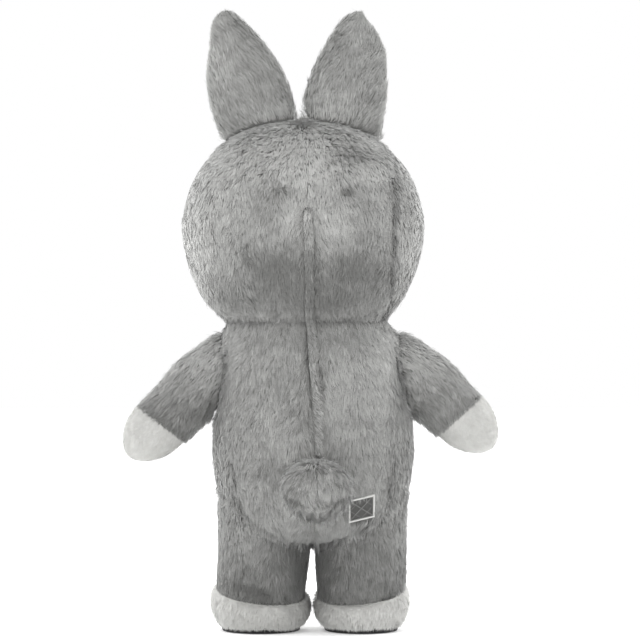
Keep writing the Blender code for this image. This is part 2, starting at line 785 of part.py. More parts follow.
def build_tail(forms):
    """The tail: two gores with a seam down the middle, sewn to the seat."""
    tail = forms["tail"]
    root = root_finder(tail, forms["body"], 0.0, tail.share_at(TAIL_ROOT_OUT))
    cols, rows = closer_at_edges(8), even(6)
    turns = []
    for side, first in (("right", 0.0), ("left", HALF_TURN)):
        where = along_tube(first, first + HALF_TURN, root, constant(1.0))
        panel("tail_" + side, tail, where, rows, cols, grooved=SIDE_SEAMS)
        turns += [first + HALF_TURN * col for col in cols[:-1]]
    cutter = limb_cutter("tail_hole", tail, turns, root, constant(1.0), rows, 0.0)
    for side in SIDES:
        cut(bpy.data.objects["body_back_" + side], cutter)


def build_placket(forms):
    """The strip of fur cloth over the zip, from the back of the head to the seat."""
    lines, ways = [], []
    for form, heights in ((forms["body"], BODY_HEIGHTS), (forms["head"], HEAD_HEIGHTS)):
        low = max(form.place[0], PLACKET_BOTTOM)
        high = min(form.place[-1], PLACKET_TOP)
        inner = [height for height in heights if low < height < high and height != NECK_HEIGHT]
        for height in sorted(inner + [end for end in (low, high) if end != NECK_HEIGHT]):
            share = form.share_at(height)
            angles = [back_seam_angle(form, share, offset) for offset in (PLACKET_HALF, 0.0, -PLACKET_HALF)]
            lines.append([form.at(angle, share) for angle in angles])
            ways.append([form.normal(angle, share) for angle in angles])
    neck = forms["head"]
    angles = [back_seam_angle(neck, 0.0, offset) for offset in (PLACKET_HALF, 0.0, -PLACKET_HALF)]
    at = sum(1 for line in lines if line[0][2] < NECK_HEIGHT)
    lines.insert(at, [neck.at(angle, 0.0) for angle in angles])
    ways.insert(at, [np.array([math.sin(angle), math.cos(angle), 0.0]) for angle in angles])
    outer = draw_in(np.array(lines)) - np.array(ways) * PLACKET_SINK
    mesh = closed_wall(outer, outer - np.array(ways) * PLACKET_WALL)
    finish_piece(link_mesh("zip_placket", mesh, "rabbit_costume"), "grey_fur")


def inlet_place(body):
    """The air inlet's own frame: x across it, y up it, z out of the cloth."""
    share = body.share_at(INLET_HEIGHT)
    angle = math.radians(INLET_ANGLE)
    out = Vector(body.normal(angle, share))
    across = Vector((0.0, 0.0, 1.0)).cross(out).normalized()
    up = out.cross(across)
    turn = Matrix((across, up, out)).transposed().to_4x4()
    spot = Vector(body.at(angle, share)) - out * INLET_SINK
    return Matrix.Translation(spot) @ turn @ Matrix.Rotation(math.radians(INLET_ROLL), 4, "Z")


def flat_frame(name, width, tall, border, thickness):
    """A flat rectangle, or a frame where border is given, as a mesh from a 2D curve."""
    curve = bpy.data.curves.new(name, "CURVE")
    curve.dimensions = "2D"
    curve.fill_mode = "BOTH"
    curve.extrude = thickness / 2
    for inset in (0.0, border) if border else (0.0,):
        x, y = width / 2 - inset, tall / 2 - inset
        line = curve.splines.new("POLY")
        line.points.add(3)
        for point, (px, py) in zip(line.points, ((-x, -y), (x, -y), (x, y), (-x, y))):
            point.co = (px, py, 0.0, 1.0)
        line.use_cyclic_u = True
    outline = bpy.data.objects.new(name + "_outline", curve)
    bpy.data.collections["cutters"].objects.link(outline)
    bpy.context.view_layer.update()
    data = bpy.data.meshes.new_from_object(outline.evaluated_get(bpy.context.evaluated_depsgraph_get()))
    bpy.data.objects.remove(outline)
    mesh = bmesh.new()
    mesh.from_mesh(data)
    bpy.data.meshes.remove(data)
    bmesh.ops.remove_doubles(mesh, verts=mesh.verts, dist=1e-5)
    return link_mesh(name, mesh, "rabbit_costume")


def build_inlet(forms):
    """The air inlet at the right hip: a pale binding round a dark mesh, set in the cloth."""
    place = inlet_place(forms["body"])
    binding = flat_frame("inlet_binding", INLET_WIDTH, INLET_TALL, INLET_BINDING, INLET_DEPTH)
    inner = 2 * (INLET_BINDING + SEAM_GAP)
    net = flat_frame("inlet_mesh", INLET_WIDTH - inner, INLET_TALL - inner, 0.0, INLET_MESH)
    for piece, finish in ((binding, "pale_binding"), (net, "dark_mesh")):
        piece.matrix_world = place
        finish_piece(piece, finish, smooth=False)
    mesh = bmesh.new()
    size = Matrix.Diagonal((INLET_WIDTH + 2 * SEAM_GAP, INLET_TALL + 2 * SEAM_GAP, 2 * INLET_REACH, 1.0))
    bmesh.ops.create_cube(mesh, size=1.0, matrix=place @ size)
    cut(bpy.data.objects["body_back_right"], place_cutter("inlet_hole", mesh))


def build_face(forms):
    """Eyes, nose and the mouth of mesh, each a pad made from the points of the face."""
    head = forms["head"]
    for name, pad in FACE.items():
        middle = head.share_at(pad["height"])
        half = head.ring(middle)[2]
        profile = head.share_at(pad["height"] + pad["half"][1]) - middle

        def ring(reach, lift):
            points = []
            for side in range(PAD_SIDES):
                turn = 2.0 * math.pi * side / PAD_SIDES
                angle = HALF_TURN - math.radians(pad["turn"]) + reach * pad["half"][0] / half * math.cos(turn)
                share = middle + reach * profile * math.sin(turn)
                points.append(head.at(angle, share) + head.normal(angle, share) * lift)
            return points

        under = [ring(reach, PAD_SEAT) for reach in PAD_RINGS]
        over = [ring(reach, PAD_SEAT + PAD_EDGE + pad["dome"] * math.sqrt(max(0.0, 1.0 - reach ** 2)))
                for reach in reversed(PAD_RINGS)]
        finish = "dark_mesh" if name == "mouth_mesh" else "dark_button"
        finish_piece(link_mesh(name, closed_rings(under + over), "rabbit_costume"), finish)


def make_materials():
    """One material for each finish."""
    for name, (colour, metallic, roughness) in FINISHES.items():
        material = bpy.data.materials.new(name)
        material.use_nodes = True
        shader = material.node_tree.nodes["Principled BSDF"]
        shader.inputs["Base Color"].default_value = (*colour, 1.0)
        shader.inputs["Metallic"].default_value = metallic
        shader.inputs["Roughness"].default_value = roughness


def main():
    """Builds the costume."""
    for item in list(bpy.data.objects):
        bpy.data.objects.remove(item)
    for name in ("rabbit_costume", "cutters"):
        bpy.context.scene.collection.children.link(bpy.data.collections.new(name))
    make_materials()
    forms = make_forms()
    build_head(forms)
    build_body(forms)
    build_ears(forms)
    build_arms(forms)
    build_legs(forms)
    build_tail(forms)
    build_placket(forms)
    build_inlet(forms)
    build_face(forms)


main()
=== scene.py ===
"""Dresses the blown-up rabbit costume: thin cloth on each CAD panel, and brushed fur that grows from it.

Metres, +Z up, with the face towards -Y and the zip at +Y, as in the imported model. Angles on a form start
at the middle of its back and grow towards its side, and a share says how far along its profile a place is.
"""
import logging
import math
from dataclasses import dataclass
from enum import Enum
from typing import Callable

import bmesh
import bpy
import numpy as np
from mathutils import Matrix, Vector

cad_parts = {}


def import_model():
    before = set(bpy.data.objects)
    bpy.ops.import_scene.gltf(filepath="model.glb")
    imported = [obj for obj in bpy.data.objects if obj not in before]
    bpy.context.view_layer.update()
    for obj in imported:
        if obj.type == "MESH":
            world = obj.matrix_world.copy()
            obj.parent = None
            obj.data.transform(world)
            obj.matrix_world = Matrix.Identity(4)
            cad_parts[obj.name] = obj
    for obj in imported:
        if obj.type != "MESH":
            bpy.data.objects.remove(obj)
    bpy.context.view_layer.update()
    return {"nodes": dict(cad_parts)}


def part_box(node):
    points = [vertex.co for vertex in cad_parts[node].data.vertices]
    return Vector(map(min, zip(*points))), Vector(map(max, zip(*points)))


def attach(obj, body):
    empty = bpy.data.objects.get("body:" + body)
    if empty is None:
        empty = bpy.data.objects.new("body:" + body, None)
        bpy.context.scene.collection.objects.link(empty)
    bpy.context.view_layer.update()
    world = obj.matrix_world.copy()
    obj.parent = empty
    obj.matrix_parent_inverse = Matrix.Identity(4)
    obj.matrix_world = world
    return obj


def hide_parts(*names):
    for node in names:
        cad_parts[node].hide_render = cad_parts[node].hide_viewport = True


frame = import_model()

LOG = logging.getLogger("rabbit_costume")

Array = np.ndarray
PanelMap = Callable[[Array, Array], tuple[Array, Array]]
Seam = Callable[[Array], Array]
Flow = Callable[[Array, Array], Array]
Colour = tuple[float, float, float]
Point = tuple[float, float, float]

SEED = 411
UP = np.array((0.0, 0.0, 1.0))
QUARTER = math.pi / 2
HALF_TURN = math.pi
FULL_TURN = 2.0 * math.pi
SAMPLES = 400
NUDGE = 1e-3
TINY = 1e-9
HALVINGS = 24
FLOOR_GAP = 0.0006
TONE = "tone"
NO_QUADS = np.empty((0, 4), dtype=int)
NO_TRIS = np.empty((0, 3), dtype=int)


class Side(Enum):
    """The wearer's side that a piece is on, with its sign along X."""

    LEFT = 1.0
    RIGHT = -1.0

    @property
    def word(self) -> str:
        """The side's name in a node's name."""
        return self.name.lower()


class Half(Enum):
    """Half of a tube, with the angle at which it starts."""

    BACK = -QUARTER
    FRONT = QUARTER

    @property
    def word(self) -> str:
        """The half's name in a node's name."""
        return self.name.lower()

    @property
    def limb_fur(self) -> "Pile":
        """The fur of this half of a limb."""
        return LIMB_FUR if self is Half.BACK else FRONT_FUR

    def tube(self, root: Seam, end: Seam) -> PanelMap:
        """Panel map of this half of a tube, from its root to its end."""
        return along_tube(self.value, self.value + HALF_TURN, root, end)


# Seams that dip, of a panel's first row, last row, first column and last column
NO_VALLEYS = (False, False, False, False)
SIDE_SEAMS = (False, False, True, True)
SEAM_GAP = 0.0003
GROOVE_DEPTH = 0.007
GROOVE_WIDTH = 0.022
# Cloth takes up at most this share of a thin form's half thickness
THIN_SHARE = 0.75
WALL = 0.014
CLOTH = 0.0018
STEP = 0.0016

# Head and body: rows of height, centre x, half width, depth to the back, depth to the front
HEAD_RINGS = (
    (1.008, 0.011, 0.262, 0.226, 0.226),
    (1.027, 0.018, 0.279, 0.240, 0.242),
    (1.055, 0.023, 0.309, 0.266, 0.272),
    (1.110, 0.024, 0.344, 0.296, 0.308),
    (1.200, 0.024, 0.379, 0.328, 0.344),
    (1.309, 0.024, 0.394, 0.344, 0.360),
    (1.420, 0.024, 0.371, 0.326, 0.340),
    (1.500, 0.024, 0.330, 0.290, 0.300),
    (1.565, 0.026, 0.270, 0.236, 0.240),
    (1.612, 0.028, 0.196, 0.168, 0.170),
    (1.638, 0.030, 0.110, 0.092, 0.092),
    (1.645, 0.031, 0.003, 0.003, 0.003),
)
BODY_RINGS = (
    (1.008, 0.011, 0.262, 0.226, 0.226),
    (0.985, 0.006, 0.272, 0.234, 0.236),
    (0.930, 0.000, 0.290, 0.250, 0.254),
    (0.830, -0.005, 0.303, 0.268, 0.274),
    (0.720, -0.007, 0.316, 0.280, 0.288),
    (0.610, -0.008, 0.327, 0.288, 0.298),
    (0.530, -0.008, 0.323, 0.286, 0.296),
    (0.450, -0.008, 0.309, 0.272, 0.280),
    (0.395, -0.008, 0.292, 0.254, 0.260),
    (0.350, -0.007, 0.260, 0.224, 0.228),
    (0.318, -0.006, 0.212, 0.182, 0.184),
    (0.296, -0.006, 0.140, 0.120, 0.120),
    (0.286, -0.006, 0.004, 0.004, 0.004),
)
NECK_HEIGHT = 1.008
CREASE_REACH = 0.035
RIM_REACH = 0.028
LEAN_REACH = 0.022
TRIM_REACH = 0.018
BARE_OVERLAP = 0.008
SHOULDER_TOP = 0.96
SHOULDER_FADE = 0.06
SWIRL_SEEDS = (3, 5, 7)
CURL_SEEDS = (23, 29, 31)

# Ears: rows of height, centre x, half width, half thickness
EAR_RINGS = {
    Side.LEFT: (
        (1.520, 0.160, 0.110, 0.050),
        (1.565, 0.161, 0.116, 0.052),
        (1.642, 0.176, 0.133, 0.056),
        (1.718, 0.192, 0.139, 0.058),
        (1.795, 0.208, 0.130, 0.055),
        (1.872, 0.226, 0.102, 0.047),
        (1.930, 0.247, 0.076, 0.038),
        (1.970, 0.261, 0.051, 0.029),
        (1.992, 0.262, 0.029, 0.020),
        (2.000, 0.262, 0.004, 0.004),
    ),
    Side.RIGHT: (
        (1.520, -0.104, 0.118, 0.050),
        (1.565, -0.104, 0.122, 0.052),
        (1.642, -0.108, 0.128, 0.056),
        (1.718, -0.111, 0.137, 0.058),
        (1.795, -0.122, 0.126, 0.055),
        (1.872, -0.136, 0.106, 0.047),
        (1.930, -0.141, 0.078, 0.038),
        (1.968, -0.140, 0.050, 0.029),
        (1.990, -0.143, 0.029, 0.020),
        (1.998, -0.144, 0.004, 0.004),
    ),
}

# Arms: rows of distance along the arm, shift to its underside, radius
ARM_RINGS = (
    (-0.335, 0.040, 0.046),
    (-0.300, 0.027, 0.064),
    (-0.262, 0.016, 0.077),
    (-0.215, 0.006, 0.086),
    (-0.160, 0.002, 0.095),
    (-0.100, 0.001, 0.105),
    (-0.040, 0.000, 0.104),
    (0.020, 0.001, 0.099),
    (0.096, 0.001, 0.097),
    (0.140, 0.001, 0.097),
)
MITT_RINGS = (
    (-0.030, 0.001, 0.097),
    (0.000, 0.001, 0.097),
    (0.040, 0.001, 0.095),
    (0.076, 0.001, 0.086),
    (0.107, 0.001, 0.070),
    (0.133, 0.001, 0.048),
    (0.150, 0.001, 0.024),
    (0.155, 0.001, 0.003),
)


@dataclass(frozen=True)
class ArmPlace:
    """Where an arm is: a point on its axis, its fall below the horizontal, and its mitt's seam."""

    x: float
    z: float
    fall: float
    seam: float
    slant: float


ARMS = {
    Side.LEFT: ArmPlace(x=0.4125, z=0.743, fall=45.0, seam=0.096, slant=-0.0125),
    Side.RIGHT: ArmPlace(x=-0.4384, z=0.739, fall=43.7, seam=0.056, slant=0.0075),
}

# Legs: rows of height, lean to the middle of the foot, radius
LEG_RINGS = (
    (0.080, 1.0, 0.143),
    (0.135, 1.0, 0.145),
    (0.190, 0.6, 0.149),
    (0.260, 0.1, 0.150),
    (0.395, 0.0, 0.150),
    (0.430, 0.0, 0.1455),
    (0.460, 0.0, 0.136),
    (0.500, 0.0, 0.131),
    (0.560, 0.0, 0.130),
)
LEG_X = {Side.LEFT: 0.150, Side.RIGHT: -0.162}

# Feet: rows of spread from the ankle to the outline of the foot, height above the sole as a share, and
# girth as a share of that outline. They tuck in to a smaller sole
FOOT_PROFILE = (
    (0.00, 1.00, 1.000),
    (0.50, 0.95, 1.000),
    (0.88, 0.80, 1.000),
    (1.00, 0.55, 1.000),
    (1.00, 0.30, 0.955),
    (0.99, 0.12, 0.870),
    (0.98, 0.00, 0.770),
)
FOOT_X = {Side.LEFT: 0.1604, Side.RIGHT: -0.1635}
FOOT_HALF_WIDTH = {Side.LEFT: 0.1644, Side.RIGHT: 0.155}
FOOT_Y = -0.038
FOOT_HALF_LENGTH = 0.215
ANKLE_HEIGHT = 0.132
ANKLE_HEEL = -0.028
ANKLE_OUTSIDE = 0.014
SOLE_THICKNESS = 0.012

# Tail: rows of distance out of the back, half width, half height
TAIL_RINGS = (
    (-0.060, 0.068, 0.055),
    (0.000, 0.092, 0.076),
    (0.040, 0.107, 0.090),
    (0.078, 0.093, 0.079),
    (0.100, 0.058, 0.048),
    (0.107, 0.003, 0.003),
)
TAIL_CENTRE = (-0.019, 0.275, 0.478)

# Seams: rows of height and x of the middle of the back, and of height and angle of the flanks
BACK_SEAM = (
    (0.286, -0.006),
    (0.400, -0.012),
    (0.500, -0.018),
    (0.600, -0.024),
    (0.700, -0.020),
    (0.820, -0.013),
    (0.930, -0.004),
    (1.008, 0.002),
    (1.200, 0.004),
    (1.357, 0.004),
    (1.500, 0.016),
    (1.645, 0.031),
)
FLANK_SEAM = (
    (0.286, 53.0),
    (0.540, 53.0),
    (0.600, 58.0),
    (0.660, 66.0),
    (0.720, 76.0),
    (0.765, 85.0),
    (0.780, 90.0),
    (1.008, 90.0),
)
FLANK_TOP = 0.765
FLANK_BOTTOM = 0.320
CHEEK_OFFSET = 0.288
CHEEK_TIP_SINE = 0.997
CHEEK_LOW_SINE = 0.93
CHEEK_LOW_HEIGHT = 1.12
CHEEK_TIP_ABOVE = 1.32

# Strip over the zip
PLACKET_HALF = 0.0135
PLACKET_TOP = 1.357
PLACKET_BOTTOM = 0.585
PLACKET_SINK = 0.003
SLOT_CLEARANCE = 0.0002
END_FADE = 0.0015


@dataclass(frozen=True)
class Crease:
    """A soft trough pressed into the cloth between two points, where the fur is also painted darker as shade.
    """

    start: tuple[float, float, float]
    end: tuple[float, float, float]
    depth: float
    width: float


# Rows of start, end, depth and width. The largest are also in the CAD, and the rest follow the
# photograph, with like ones on the hidden sides
CREASES = tuple(Crease(*row) for row in (
    ((0.240, 0.12, 0.168), (0.140, 0.15, 0.132), 0.012, 0.017),
    ((-0.240, 0.13, 0.175), (-0.170, 0.15, 0.158), 0.007, 0.016),
    ((0.150, -0.15, 0.225), (0.250, -0.11, 0.205), 0.010, 0.017),
    ((-0.110, -0.14, 0.230), (-0.210, -0.14, 0.215), 0.010, 0.017),
    ((0.330, 0.07, 0.735), (0.395, 0.09, 0.800), 0.009, 0.018),
    ((-0.345, 0.08, 0.730), (-0.400, 0.09, 0.790), 0.007, 0.018),
    ((0.330, -0.09, 0.735), (0.395, -0.10, 0.800), 0.009, 0.018),
    ((-0.345, -0.09, 0.730), (-0.400, -0.10, 0.790), 0.007, 0.018),
    ((-0.030, 0.285, 0.885), (-0.036, 0.285, 0.840), 0.006, 0.010),
    ((-0.018, 0.285, 0.800), (-0.034, 0.290, 0.775), 0.005, 0.009),
    ((-0.012, 0.320, 1.160), (-0.050, 0.320, 1.140), 0.004, 0.010),
    ((-0.010, 0.300, 1.075), (-0.040, 0.300, 1.050), 0.005, 0.010),
    ((0.020, 0.300, 1.090), (0.050, 0.300, 1.060), 0.004, 0.011),
    ((0.255, 0.19, 0.545), (0.215, 0.215, 0.410), 0.005, 0.016),
    ((-0.270, 0.17, 0.560), (-0.240, 0.200, 0.420), 0.004, 0.016),
    ((0.280, -0.17, 0.560), (0.240, -0.200, 0.420), 0.004, 0.018),
    ((-0.290, -0.16, 0.580), (-0.250, -0.200, 0.450), 0.004, 0.018),
    ((0.300, 0.160, 1.225), (0.270, 0.205, 1.160), 0.004, 0.020),
    ((0.180, 0.270, 1.430), (0.120, 0.300, 1.390), 0.003, 0.014),
    ((-0.080, 0.290, 1.420), (-0.130, 0.280, 1.395), 0.004, 0.012),
    ((-0.160, 0.240, 1.470), (-0.235, 0.205, 1.445), 0.003, 0.014),
    ((-0.125, 0.057, 1.875), (-0.185, 0.050, 1.800), 0.003, 0.009),
    ((-0.060, 0.057, 1.735), (-0.150, 0.057, 1.728), 0.003, 0.010),
    ((0.200, 0.057, 1.820), (0.150, 0.050, 1.790), 0.003, 0.010),
    ((0.180, -0.057, 1.830), (0.240, -0.050, 1.800), 0.003, 0.010),
    ((-0.110, -0.057, 1.760), (-0.170, -0.052, 1.742), 0.003, 0.010),
    ((0.078, 0.350, 0.462), (0.008, 0.375, 0.438), 0.011, 0.009),
    ((-0.050, 0.372, 0.442), (-0.112, 0.345, 0.466), 0.010, 0.009),
))


@dataclass(frozen=True)
class Patch:
    """A stretch of the back where the fur is lighter or darker, matted, or stands up.

    Most of the lighter and darker stretches are painted light and shade.
    """

    x: float
    z: float
    half_x: float
    half_z: float
    tone: float
    ruffle: float = 0.0
    stand: float = 0.0


# Rows of x, z, half width, half height, tone, ruffle and stand, placed after the photograph: the matted crown
# and its dark
# mats, and painted light and shade: a lighter crown, shoulders and rims, painted highlights on the brushed
# fur, and painted shade in bands under the head, on the legs, cuffs and ear roots, along the back seam, in
# the armpits, and in folds and creases
PATCHES = tuple(Patch(*row) for row in (
    (0.020, 1.550, 0.240, 0.110, 0.66),
    (0.140, 1.520, 0.090, 0.065, 0.00, 0.60),
    (-0.110, 1.530, 0.090, 0.075, 0.00, 0.75),
    (0.030, 1.545, 0.050, 0.050, 0.12),
    (0.030, 1.628, 0.090, 0.026, 0.36),
    (-0.110, 1.414, 0.020, 0.014, -0.75, 0.9),
    (0.085, 1.420, 0.040, 0.020, -0.30, 0.9),
    (0.200, 1.225, 0.035, 0.050, -0.25, 0.7),
    (0.160, 1.480, 0.080, 0.030, -0.05, 0.8),
    (-0.150, 1.530, 0.100, 0.026, -0.42, 0.9),
    (-0.255, 1.440, 0.020, 0.050, -0.35, 0.9),
    (-0.180, 1.470, 0.060, 0.036, 0.45),
    (0.020, 1.480, 0.022, 0.070, 0.30),
    (0.060, 1.340, 0.040, 0.045, 0.35),
    (-0.120, 1.330, 0.120, 0.070, 0.30),
    (0.090, 1.190, 0.090, 0.055, -0.56),
    (-0.150, 1.185, 0.100, 0.052, -0.44),
    (0.000, 1.085, 0.260, 0.078, -0.50),
    (0.270, 1.340, 0.070, 0.120, 0.15),
    (0.370, 1.280, 0.050, 0.160, 0.42),
    (-0.330, 1.300, 0.040, 0.130, 0.20),
    (-0.150, 0.800, 0.110, 0.200, 0.22),
    (0.130, 0.535, 0.055, 0.040, -0.30, 0.3),
    (0.190, 0.500, 0.060, 0.060, 0.15, 0.5),
    (0.090, 0.960, 0.080, 0.030, -0.15),
    (0.050, 0.720, 0.060, 0.060, -0.08, 0.4),
    (0.000, 0.940, 0.200, 0.030, -0.10),
    (0.150, 0.215, 0.200, 0.120, -0.31),
    (-0.160, 0.215, 0.200, 0.120, -0.38),
    (0.045, 0.220, 0.035, 0.120, -0.15),
    (-0.060, 0.220, 0.035, 0.120, -0.20),
    (-0.250, 0.128, 0.030, 0.016, -0.50, 1.0),
    (0.375, 0.740, 0.080, 0.065, -0.28, 0.3),
    (-0.380, 0.740, 0.080, 0.065, -0.22, 0.3),
    (0.170, 1.600, 0.110, 0.035, -0.25, 0.6),
    (-0.110, 1.600, 0.110, 0.035, -0.30, 0.6),
    (0.200, 1.780, 0.110, 0.200, -0.15),
    (-0.120, 1.780, 0.110, 0.200, -0.15),
    (0.180, 0.850, 0.120, 0.160, -0.14),
    (-0.018, 0.500, 0.070, 0.040, 0.14),
    (-0.018, 0.548, 0.034, 0.022, 0.34),
    (0.120, 1.400, 0.070, 0.050, -0.12),
    (0.300, 0.955, 0.060, 0.040, 0.08, 0.0, 0.7),
    (-0.300, 0.955, 0.060, 0.040, 0.08, 0.0, 0.7),
    (0.160, 0.060, 0.140, 0.060, -0.45),
    (-0.262, 1.260, 0.009, 0.035, -0.65, 0.9),
    (-0.264, 1.350, 0.011, 0.030, -0.70, 0.9),
    (-0.258, 1.150, 0.009, 0.030, -0.60, 0.7),
    (0.066, 0.457, 0.014, 0.004, -0.75, 0.3),
    (0.044, 0.449, 0.014, 0.004, -0.75, 0.3),
    (0.022, 0.441, 0.014, 0.004, -0.65, 0.3),
    (-0.062, 0.443, 0.014, 0.004, -0.65, 0.3),
    (-0.085, 0.452, 0.014, 0.004, -0.75, 0.3),
    (-0.106, 0.461, 0.012, 0.004, -0.70, 0.3),
    (-0.018, 0.415, 0.070, 0.022, 0.40, 0.7),
    (0.214, 0.162, 0.024, 0.012, -0.90, 0.9),
    (0.180, 0.148, 0.024, 0.013, -1.10, 0.9),
    (0.146, 0.134, 0.024, 0.012, -0.90, 0.9),
    (-0.019, 1.120, 0.010, 0.085, -0.40, 1.0),
    (-0.031, 0.820, 0.010, 0.045, -0.55, 0.9),
    (0.345, 0.890, 0.090, 0.080, 0.30),
    (-0.345, 0.890, 0.090, 0.080, 0.30),
    (0.262, 0.850, 0.018, 0.090, -0.22),
    (-0.272, 0.850, 0.018, 0.090, -0.22),
    (-0.0105, 1.190, 0.0035, 0.150, -0.50),
    (0.530, 0.630, 0.100, 0.100, -0.80),
    (-0.530, 0.630, 0.100, 0.100, -0.40),
    (0.027, 1.652, 0.022, 0.030, -0.20, 0.9, 2.6),
))


def patches_at(points: Array) -> tuple[Array, Array, Array]:
    """Tone, ruffling and standing of the patches at points of the cloth.

    Args:
        points: Rows of x, y, z.

    Returns:
        The tone to add, mostly painted light and shade, the ruffling from 0 to 1, and how much more the fur
        stands up, at each point.
    """
    tone, ruffle, stand = np.zeros((3, len(points)))
    behind = points[:, 1] > -0.02
    for patch in PATCHES:
        away = ((points[:, 0] - patch.x) / patch.half_x) ** 2 + ((points[:, 2] - patch.z) / patch.half_z) ** 2
        share = np.exp(-away) * behind
        # Most patches paint light and shade into the fur's tone
        tone += patch.tone * share
        ruffle = np.maximum(ruffle, patch.ruffle * share)
        stand = np.maximum(stand, patch.stand * share)
    return tone, ruffle, stand


def seam_shows(points: Array) -> Array:
    """How clearly seams show, from 0 to 1: on the back, brushing hides some of them in part.

    Args:
        points: Points, in an array whose last axis is x, y, z.

    Returns:
        The share at each point.
    """
    x, y, z = points[..., 0], points[..., 1], points[..., 2]
    zip_x = np.interp(z, *np.array(BACK_SEAM).T)
    found = np.clip(0.80 + 0.30 * Wave.SEAM_SHOW.at(points), 0.0, 1.0)
    for share, hidden in (
        (0.08, (np.abs(x - 0.02) < 0.14) & (z > PLACKET_TOP + STEP)),
        (0.28, (x > 0.20) & (z > NECK_HEIGHT)),
        (0.55, (x < zip_x) & (x > zip_x - 0.06)),
        (0.60, (x >= zip_x) & (x < zip_x + 0.06) & (z > NECK_HEIGHT)),
        (0.12, (np.abs(x) > 0.20) & (z < NECK_HEIGHT) & (z > 0.575)),
    ):
        found = np.where(hidden & (y > 0.0), found * share, found)
    return found


def over_end(points: Array, above: float, reach: float) -> Array:
    """How near points are to the stitched top end of the strip over the zip.

    Args:
        points: Rows of x, y, z.
        above: How far above that end the middle of the stretch is.
        reach: How far up and down it goes.

    Returns:
        1 in the middle of the stretch, falling to 0.
    """
    middle = np.interp(PLACKET_TOP, *np.array(BACK_SEAM).T)
    across = np.maximum(np.abs(points[:, 0] - middle) - PLACKET_HALF, 0.0) / END_FADE
    up = (points[:, 2] - PLACKET_TOP - above) / reach
    return np.exp(-across ** 2 - up ** 2) * (points[:, 1] > 0.0)


def crease_depth(points: Array) -> Array:
    """How far the creases push points of the cloth in.

    Args:
        points: Points of the outside, in an array whose last axis is x, y, z.

    Returns:
        The depth at each point, in metres.
    """
    depth = np.zeros(points.shape[:-1])
    for crease in CREASES:
        start = np.array(crease.start)
        span = np.array(crease.end) - start
        along = np.clip((points - start) @ span / (span @ span), 0.0, 1.0)
        away = np.linalg.norm(points - start - along[..., None] * span, axis=-1)
        depth = np.maximum(depth, crease.depth * np.exp(-(away / crease.width) ** 2))
    return depth


def unit(vectors: Array) -> Array:
    """Vectors made one metre long."""
    return vectors / np.maximum(np.linalg.norm(vectors, axis=-1, keepdims=True), TINY)


def ripple(points: Array, size: float, seed: int) -> Array:
    """A smooth, irregular field from about -1 to 1.

    Args:
        points: Where to read it.
        size: Rough distance from a high to the next, in metres.
        seed: Picks the field.

    Returns:
        The field's value at each point.
    """
    waves = 7
    rng = np.random.default_rng(seed)
    ways = unit(rng.normal(size=(waves, 3))) * (FULL_TURN / size) * rng.uniform(0.6, 1.6, (waves, 1))
    starts = rng.uniform(0.0, FULL_TURN, waves)
    return np.sin(points @ ways.T + starts).sum(axis=-1) / math.sqrt(waves)


class Wave(Enum):
    """Irregular fields over the suit: each one's size, as for ripple, and the seed that picks it."""

    LOCK_LENGTH = (0.05, 11)
    LOCK_WIDTH = (0.045, 13)
    BROAD_TONE = (0.24, 17)
    FINE_TONE = (0.06, 19)
    SEAM_WIDTH = (0.05, 37)
    NECK_DEPTH = (0.045, 41)
    NECK_LINE = (0.08, 43)
    SEAM_SHOW = (0.07, 47)

    def at(self, points: Array) -> Array:
        """The field's value at each point."""
        return ripple(points, *self.value)


def smooth_rows(table: list[tuple[float, ...]]) -> Array:
    """Reads the rows of a table closely, along a Catmull-Rom curve.

    Args:
        table: The rows.

    Returns:
        Rows along the curve, SAMPLES of them.
    """
    rows = np.array(table, dtype=float)
    padded = np.vstack([2 * rows[0] - rows[1], rows, 2 * rows[-1] - rows[-2]])
    spans = len(rows) - 1
    samples = np.linspace(0.0, spans, SAMPLES)
    first = np.minimum(samples.astype(int), spans - 1)
    t = (samples - first)[:, None]
    p0, p1, p2, p3 = (padded[first + k] for k in range(4))
    return 0.5 * (2 * p1 + (p2 - p0) * t + (2 * p0 - 5 * p1 + 4 * p2 - p3) * t ** 2
                  + (3 * p1 - p0 - 3 * p2 + p3) * t ** 3)


class Form:
    """A soft form that is read at angles and shares."""

    crease: float | None = None

    def at(self, angle: Array, share: Array) -> Array:
        """Points of the form."""
        raise NotImplementedError

    def turn(self) -> float:
        """Sign that makes the cross product of the two directions point out."""
        return 1.0

    def normal(self, angle: Array, share: Array) -> Array:
        """Unit normals of the form, pointing out.

        Args:
            angle: Angles on the form.
            share: Shares of its profile.

        Returns:
            The normals.
        """
        across = self.at(angle + NUDGE, share) - self.at(angle - NUDGE, share)
        ahead = self.at(angle, np.minimum(share + NUDGE, 1.0))
        along = ahead - self.at(angle, np.maximum(share - NUDGE, 0.0))
        return unit(np.cross(along, across)) * self.turn()

    def room(self, share: Array, normal: Array, wanted: float) -> Array:
        """How deep cloth and pile may go under the outside, less than wanted where the form is thin."""
        return np.full(share.shape, wanted)


